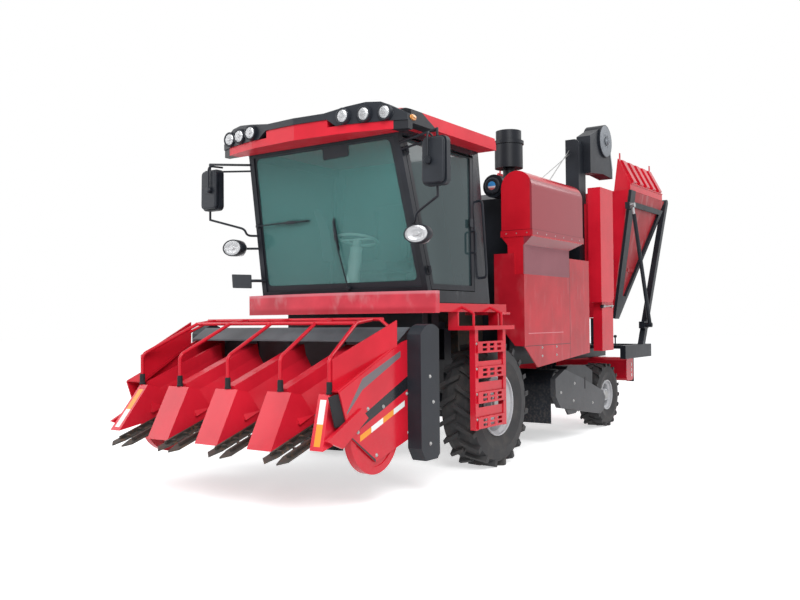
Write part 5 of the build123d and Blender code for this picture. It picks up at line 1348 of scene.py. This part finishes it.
@dataclass
class FloorShroud:
    """The dark shroud that hangs below the cab's floor."""

    y: float = -0.900
    foot: float = 1.365
    top: float = 1.581
    half: float = 0.86
    thick: float = 0.012

    def build(self, shop: Workshop) -> None:
        """Makes the shroud.

        Args:
            shop: the modelling steps.
        """
        sheet = oblong(-self.half, self.foot, self.half, self.top)
        shroud = shop.plate(sheet, self.thick, surface(at(0.0, self.y, 0.0), FORWARD), bevel=0.002)
        shop.keep("floor_shroud", shroud, BLACK, "chassis")


@dataclass
class BodyFixings:
    """Bolts of the panels, the intake's flange and the shredder covers, with the covers' slots."""

    panel_x: float = 1.200
    panel_y: tuple[float, ...] = (1.02, 1.405)
    panel_z: tuple[float, ...] = (1.087, 1.180)
    intake_x: float = 1.300
    intake_y: tuple[float, float] = (0.590, 1.980)
    flange_z: float = 2.435
    flange_count: int = 6
    flange_x: tuple[float, ...] = (0.99, 1.115, 1.24)
    cover_x: float = 1.105
    cover_studs: Outline = ((2.127, 0.704), (2.089, 0.494), (2.70, 0.42), (1.72, 0.62))
    # Front, low, rear and high edge of a cover's slot
    cover_slot: tuple[float, float, float, float] = (2.445, 0.615, 2.465, 0.765)

    def build(self, shop: Workshop) -> None:
        """Makes the bolts and slots.

        Args:
            shop: the modelling steps.
        """
        first, last = self.intake_y
        count = self.flange_count
        steps = [first + (last - first) * (step + 0.5) / count for step in range(count)]
        places = set_out(left_wall(self.panel_x), [(y, z) for y in self.panel_y for z in self.panel_z])
        places += set_out(left_wall(self.intake_x), [(y, self.flange_z) for y in steps])
        front = surface(at(0.0, first, 0.0), FORWARD)
        places += set_out(front, [(x, self.flange_z) for x in self.flange_x])
        shop.keep("panel_bolts", shop.bolts(places, radius=0.010), ZINC, "chassis")

        cover = left_wall(self.cover_x)
        studs = shop.bolts(set_out(cover, self.cover_studs), radius=0.013)
        slot = shop.plate(rounded(oblong(*self.cover_slot), radius=0.009), depth=0.003, on=cover)
        shop.keep("cover_studs", shop.both_sides(studs), ZINC, "chassis")
        shop.keep("cover_slots", shop.both_sides(slot), RUBBER, "chassis")


@dataclass
class LadderTrim:
    """Risers between the ladder's treads, and the treads' bolts."""

    x: float = 1.320
    riser_in: float = 0.016
    riser_y: tuple[float, float] = (-0.665, -0.135)
    riser_z: Outline = ((0.562, 0.660), (0.802, 0.900), (1.042, 1.100))
    bolt_y: tuple[float, ...] = (-0.68, -0.12)
    bolt_z: tuple[float, ...] = (0.55, 0.79, 1.03, 1.27)

    def build(self, shop: Workshop) -> None:
        """Makes the ladder's pieces.

        Args:
            shop: the modelling steps.
        """
        face = left_wall(self.x)
        sunk = face @ Matrix.Translation((0.0, 0.0, -self.riser_in))
        front, back = self.riser_y
        edges = [oblong(front, low, back, high) for low, high in self.riser_z]
        risers = [shop.plate(edge, depth=0.006, on=sunk) for edge in edges]
        shop.keep("ladder_risers", shop.join(risers), RED, "chassis")
        places = set_out(face, [(y, z) for y in self.bolt_y for z in self.bolt_z])
        shop.keep("ladder_bolts", shop.bolts(places, radius=0.010), ZINC, "chassis")


@dataclass
class HighDiscs:
    """Galvanised disc, hub and spout strip of the elevator's head, and the air cleaner's cap."""

    head: Point = (1.120, 3.260, 3.890)
    head_r: float = 0.218
    nut_ring: float = 0.085
    spout_x: float = 1.096
    cleaner: Point = (0.785, 0.655, 2.995)

    def build(self, shop: Workshop) -> None:
        """Makes the discs.

        Args:
            shop: the modelling steps.
        """
        r = self.head_r
        face = surface(at(*self.head), LEFTWARD)
        disc = shop.lathe([(0.024, 0.004), (0.060, 0.004), (0.064, 0.008), (r - 0.030, 0.006),
                           (r - 0.012, 0.003), (r - 0.010, 0.0)], face, steps=48)
        hub = shop.lathe([(0.0, 0.053), (0.014, 0.053), (0.018, 0.049), (0.018, 0.047), (0.040, 0.046),
                          (0.044, 0.020), (0.050, 0.012), (0.052, 0.004)], face, steps=20)
        nuts = shop.bolts(ring(face, count=6, radius=self.nut_ring, lift=0.006), radius=0.009)
        edge = [(3.452, 3.775), (3.476, 3.790), (3.552, 3.535), (3.520, 3.520)]
        strip = shop.plate(edge, depth=0.004, on=left_wall(self.spout_x))
        shop.keep("elevator_disc", shop.join([disc, hub, nuts, strip]), DULL_ZINC, "chassis")

        front = surface(at(*self.cleaner), FORWARD)
        rim = [(0.048, 0.012), (0.056, 0.016), (0.080, 0.014), (0.086, 0.006), (0.093, 0.0)]
        shop.keep("cleaner_rings", shop.lathe(rim, front, steps=36), PLASTIC, "chassis")
        cap = shop.lathe([(0.0, 0.013), (0.044, 0.012), (0.050, 0.010)], front, steps=36)
        shop.keep("cleaner_cap", cap, CAP_DISC, "chassis")


@dataclass
class SideLines:
    """Stay wires, the duct's latch rod, the levers' knobs and the tank's reflectors."""

    # Each row: a wire's two ends and its radius
    wires: tuple[tuple[Point, Point, float], ...] = (
        ((0.87, 2.605, 3.690), (1.11, 1.450, 3.115), 0.006),
        ((0.87, 2.605, 3.640), (1.02, 1.300, 3.085), 0.005))
    rod: tuple[Point, Point] = ((1.214, 2.800, 1.655), (1.214, 3.190, 1.668))
    clip: Point = (0.03, 0.04, 0.022)
    clip_x: float = 1.199
    clip_y: tuple[float, ...] = (2.88, 3.16)
    clip_z: float = 1.66
    lever: Point = (0.960, 3.930, 1.235)
    lever_foot: float = 1.110
    tank: Point = (0.980, 4.455, 0.760)
    mark_y: tuple[float, float] = (0.050, 0.074)
    mark_low: tuple[float, ...] = (-0.115, -0.040, 0.035)
    mark_h: float = 0.050

    def build(self, shop: Workshop) -> None:
        """Makes the wires, rods, knobs and reflectors.

        Args:
            shop: the modelling steps.
        """
        wires = [shop.tube([at(*start), at(*end)], radius) for start, end, radius in self.wires]
        shop.keep("stay_wires", shop.join(wires), ZINC, "chassis")
        rod = shop.tube([at(*end) for end in self.rod], radius=0.009)
        seats = [surface(at(self.clip_x, y, self.clip_z), LEFTWARD) for y in self.clip_y]
        clips = [shop.block(self.clip, seat, bevel=0.004) for seat in seats]
        shop.keep("latch_rod", shop.join([rod, *clips]), ZINC, "chassis")
        x, y, z = self.lever
        knob = [(0.0, 0.030), (0.016, 0.028), (0.024, 0.016), (0.022, 0.0), (0.009, -0.014)]
        knobs = [shop.lathe(knob, surface(at(*self.rod[0]), FORWARD), steps=18),
                 shop.lathe(knob, surface(at(x, y, z), UPWARD), steps=18),
                 shop.tube([at(x, y, self.lever_foot), at(x, y, z - 0.005)], radius=0.010)]
        shop.keep("lever_knobs", shop.join(knobs), PLASTIC, "chassis")
        side = surface(at(*self.tank), LEFTWARD)
        front, back = self.mark_y
        edges = [oblong(front, low, back, low + self.mark_h) for low in self.mark_low]
        marks = [shop.plate(rounded(edge, radius=0.004), depth=0.003, on=side, bevel=0.0008)
                 for edge in edges]
        shop.keep("tank_reflectors", shop.join(marks), PALE, "chassis")


@dataclass
class BinTrim:
    """Rolled, slightly wavy lips along the bin's top panels."""

    lip_x: float = 1.153
    lip_y: tuple[float, float] = (4.135, 5.525)
    lip_z: float = 3.432
    lip_r: float = 0.011
    wave: float = 0.004
    steps: int = 28

    def build(self, shop: Workshop) -> None:
        """Makes the bin's pieces.

        Args:
            shop: the modelling steps.
        """
        first, last = self.lip_y
        route = []
        for step in range(self.steps + 1):
            out = self.lip_x + self.wave * math.sin(step * math.pi / 2)
            route.append(at(out, first + (last - first) * step / self.steps, self.lip_z))
        lip = shop.tube(route, self.lip_r)
        shop.keep("panel_lips", shop.both_sides(lip), RED, "bin")


@dataclass
class WheelTrim:
    """Hub cap and nuts of one wheel."""

    body: str
    side: int
    place: Point
    width: float
    rim_r: float
    spindle_r: float
    nuts: int
    # The rim's half width to the tyre's width, its dish to that half, and its disc's radius to its own
    rim_share: float = 0.39
    dish_share: float = 0.35
    disc_share: float = 0.62

    def build(self, shop: Workshop) -> None:
        """Makes the wheel's pieces.

        Args:
            shop: the modelling steps.
        """
        x, y, z = self.place
        out = outward((x + self.width * self.rim_share * self.dish_share, y, z), self.side)
        r = self.spindle_r
        cap = shop.lathe([(0.0, 0.098), (r * 0.5, 0.096), (r + 0.010, 0.088), (r + 0.024, 0.072),
                          (r + 0.026, 0.069)], out)
        middle = (r + 0.050 + self.rim_r * self.disc_share) / 2
        studs = shop.bolts(ring(out, self.nuts, middle, lift=-0.006), radius=0.014)
        shop.keep(f"{self.body}_hub", shop.join([cap, studs]), ZINC, self.body)


# name, place of the left one, tyre's width, rim's radius, spindle's radius, nuts
WHEELS = (("front_wheel", (1.028, 0.0, 0.632), 0.378, 0.318, 0.050, 8),
          ("rear_wheel", (0.786, 3.700, 0.438), 0.300, 0.205, 0.035, 6))


def pieces() -> list[Any]:
    """Every group of added pieces.

    Returns:
        The groups, in the order in which they are made.
    """
    groups: list[Any] = [HeaderTrim(), Windscreen(), CabLamps(), Mirrors(), CabGrips(), DriverSeat(),
                         FloorShroud(), BodyFixings(), LadderTrim(), HighDiscs(), SideLines(), BinTrim()]
    for name, place, width, rim_r, spindle_r, nuts in WHEELS:
        for hand, side in zip(("left", "right"), SIDES):
            groups.append(WheelTrim(f"{name}_{hand}", side, place, width, rim_r, spindle_r, nuts))
    return groups


# The floor and the world are white to these rays only
BACKDROP_RAYS = ("Camera", "Glossy", "Transmission")
BLANK: Colour = (0.0, 0.0, 0.0)
FULL: Colour = (1.0, 1.0, 1.0)


@dataclass(frozen=True)
class SoftLamp:
    """A square lamp of the studio: its side in metres and its power in watts."""

    name: str
    place: Point
    side: float
    power: float

    def hang(self, aim: Point) -> None:
        """Hangs the lamp and turns it to a place.

        Args:
            aim: the place that it lights.
        """
        area = bpy.data.lights.new(self.name, "AREA")
        area.size = self.side
        area.energy = self.power
        lamp = bpy.data.objects.new(self.name, area)
        lamp.location = self.place
        lamp.rotation_euler = (Vector(aim) - Vector(self.place)).to_track_quat("-Z", "Y").to_euler()
        bpy.context.scene.collection.objects.link(lamp)


@dataclass
class Studio:
    """Pale floor, soft light and the photograph's camera."""

    eye: Point = (5.33, AXLE_Y - 7.763, 1.5)
    azimuth: float = 34.617
    pitch: float = 1.36
    roll: float = -0.51
    sensor: float = 36.0
    sight: float = 500.0
    floor_half: float = 60.0
    floor_tone: Colour = (0.93, 0.93, 0.93)
    floor_glow: float = 0.55
    sky: Colour = (0.96, 0.98, 1.0)
    sky_strength: float = 0.62
    aim: Point = (0.0, 0.0, 1.4)
    lamps: tuple[SoftLamp, ...] = (SoftLamp("key", (7.0, -9.0, 8.5), side=6.0, power=950.0),
                                   SoftLamp("fill", (-9.0, -7.0, 6.0), side=7.0, power=420.0),
                                   SoftLamp("rim", (6.0, 8.0, 9.0), side=6.0, power=320.0))

    def camera(self) -> None:
        """Places the camera at the photograph's viewpoint."""
        turn, rise, lean = (math.radians(angle) for angle in (self.azimuth, self.pitch, self.roll))
        ahead = Vector((-math.sin(turn) * math.cos(rise), math.cos(turn) * math.cos(rise), math.sin(rise)))
        level = Vector((math.cos(turn), math.sin(turn), 0.0))
        upright = level.cross(ahead)
        right = level * math.cos(lean) + upright * math.sin(lean)
        up = upright * math.cos(lean) - level * math.sin(lean)
        lens = bpy.data.cameras.new("photo_view")
        lens.sensor_width = self.sensor
        lens.lens = PHOTO_FOCAL / PHOTO_WIDTH * self.sensor
        lens.clip_end = self.sight
        camera = bpy.data.objects.new("photo_view", lens)
        bpy.context.scene.collection.objects.link(camera)
        turned = Matrix((right, up, -ahead)).transposed().to_4x4()
        camera.matrix_world = Matrix.Translation(Vector(self.eye)) @ turned
        bpy.context.scene.camera = camera

    def floor(self) -> None:
        """Lays the pale floor, white to the eye and shaded where the machine shadows it."""
        bpy.ops.mesh.primitive_plane_add(size=self.floor_half * 2)
        ground = bpy.context.object
        ground.name = "studio_floor"
        graph = Graph("studio_floor")
        rays = [graph.node("ShaderNodeLightPath", {}, {}, f"Is {name} Ray") for name in BACKDROP_RAYS]
        seen = rays[0].most(rays[1]).most(rays[2])
        graph.set(Base_Color=self.floor_tone, Roughness=0.9, Specular_IOR_Level=0.0,
                  Emission_Strength=self.floor_glow, Emission_Color=graph.mix(seen, BLANK, FULL))
        ground.data.materials.append(graph.material)

    def light(self) -> None:
        """Sets the even world light and hangs the soft lamps."""
        world = bpy.data.worlds.new("studio_light")
        bpy.context.scene.world = world
        world.use_nodes = True
        tree = world.node_tree
        tree.nodes.clear()
        rays = tree.nodes.new("ShaderNodeLightPath")
        seen = rays.outputs[f"Is {BACKDROP_RAYS[0]} Ray"]
        for name in BACKDROP_RAYS[1:]:
            larger = tree.nodes.new("ShaderNodeMath")
            larger.operation = "MAXIMUM"
            tree.links.new(seen, larger.inputs[0])
            tree.links.new(rays.outputs[f"Is {name} Ray"], larger.inputs[1])
            seen = larger.outputs[0]
        around, backdrop = (tree.nodes.new("ShaderNodeBackground") for _ in range(2))
        around.inputs["Color"].default_value = (*self.sky, 1.0)
        around.inputs["Strength"].default_value = self.sky_strength
        backdrop.inputs["Color"].default_value = (*FULL, 1.0)
        blend = tree.nodes.new("ShaderNodeMixShader")
        tree.links.new(seen, blend.inputs[0])
        tree.links.new(around.outputs[0], blend.inputs[1])
        tree.links.new(backdrop.outputs[0], blend.inputs[2])
        output = tree.nodes.new("ShaderNodeOutputWorld")
        tree.links.new(blend.outputs[0], output.inputs["Surface"])
        for lamp in self.lamps:
            lamp.hang(self.aim)

    def build(self) -> None:
        """Makes the whole studio."""
        self.camera()
        self.floor()
        self.light()
        bpy.context.scene.view_settings.view_transform = "Standard"
        log.info("studio is set")


def corners(box: Iterable[Vector]) -> list[list[float]]:
    """A box as plain lists of numbers."""
    return [[float(part) for part in corner] for corner in box]


def main() -> None:
    """Dresses the frame, adds the pieces and sets the studio."""
    logging.basicConfig(level=logging.INFO, format="%(name)s: %(message)s")
    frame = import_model()
    shop = Workshop()
    Dresser(NODE_FINISH).dress(frame, shop)
    for group in pieces():
        group.build(shop)
    Studio().build()


if __name__ == "__main__":
    main()
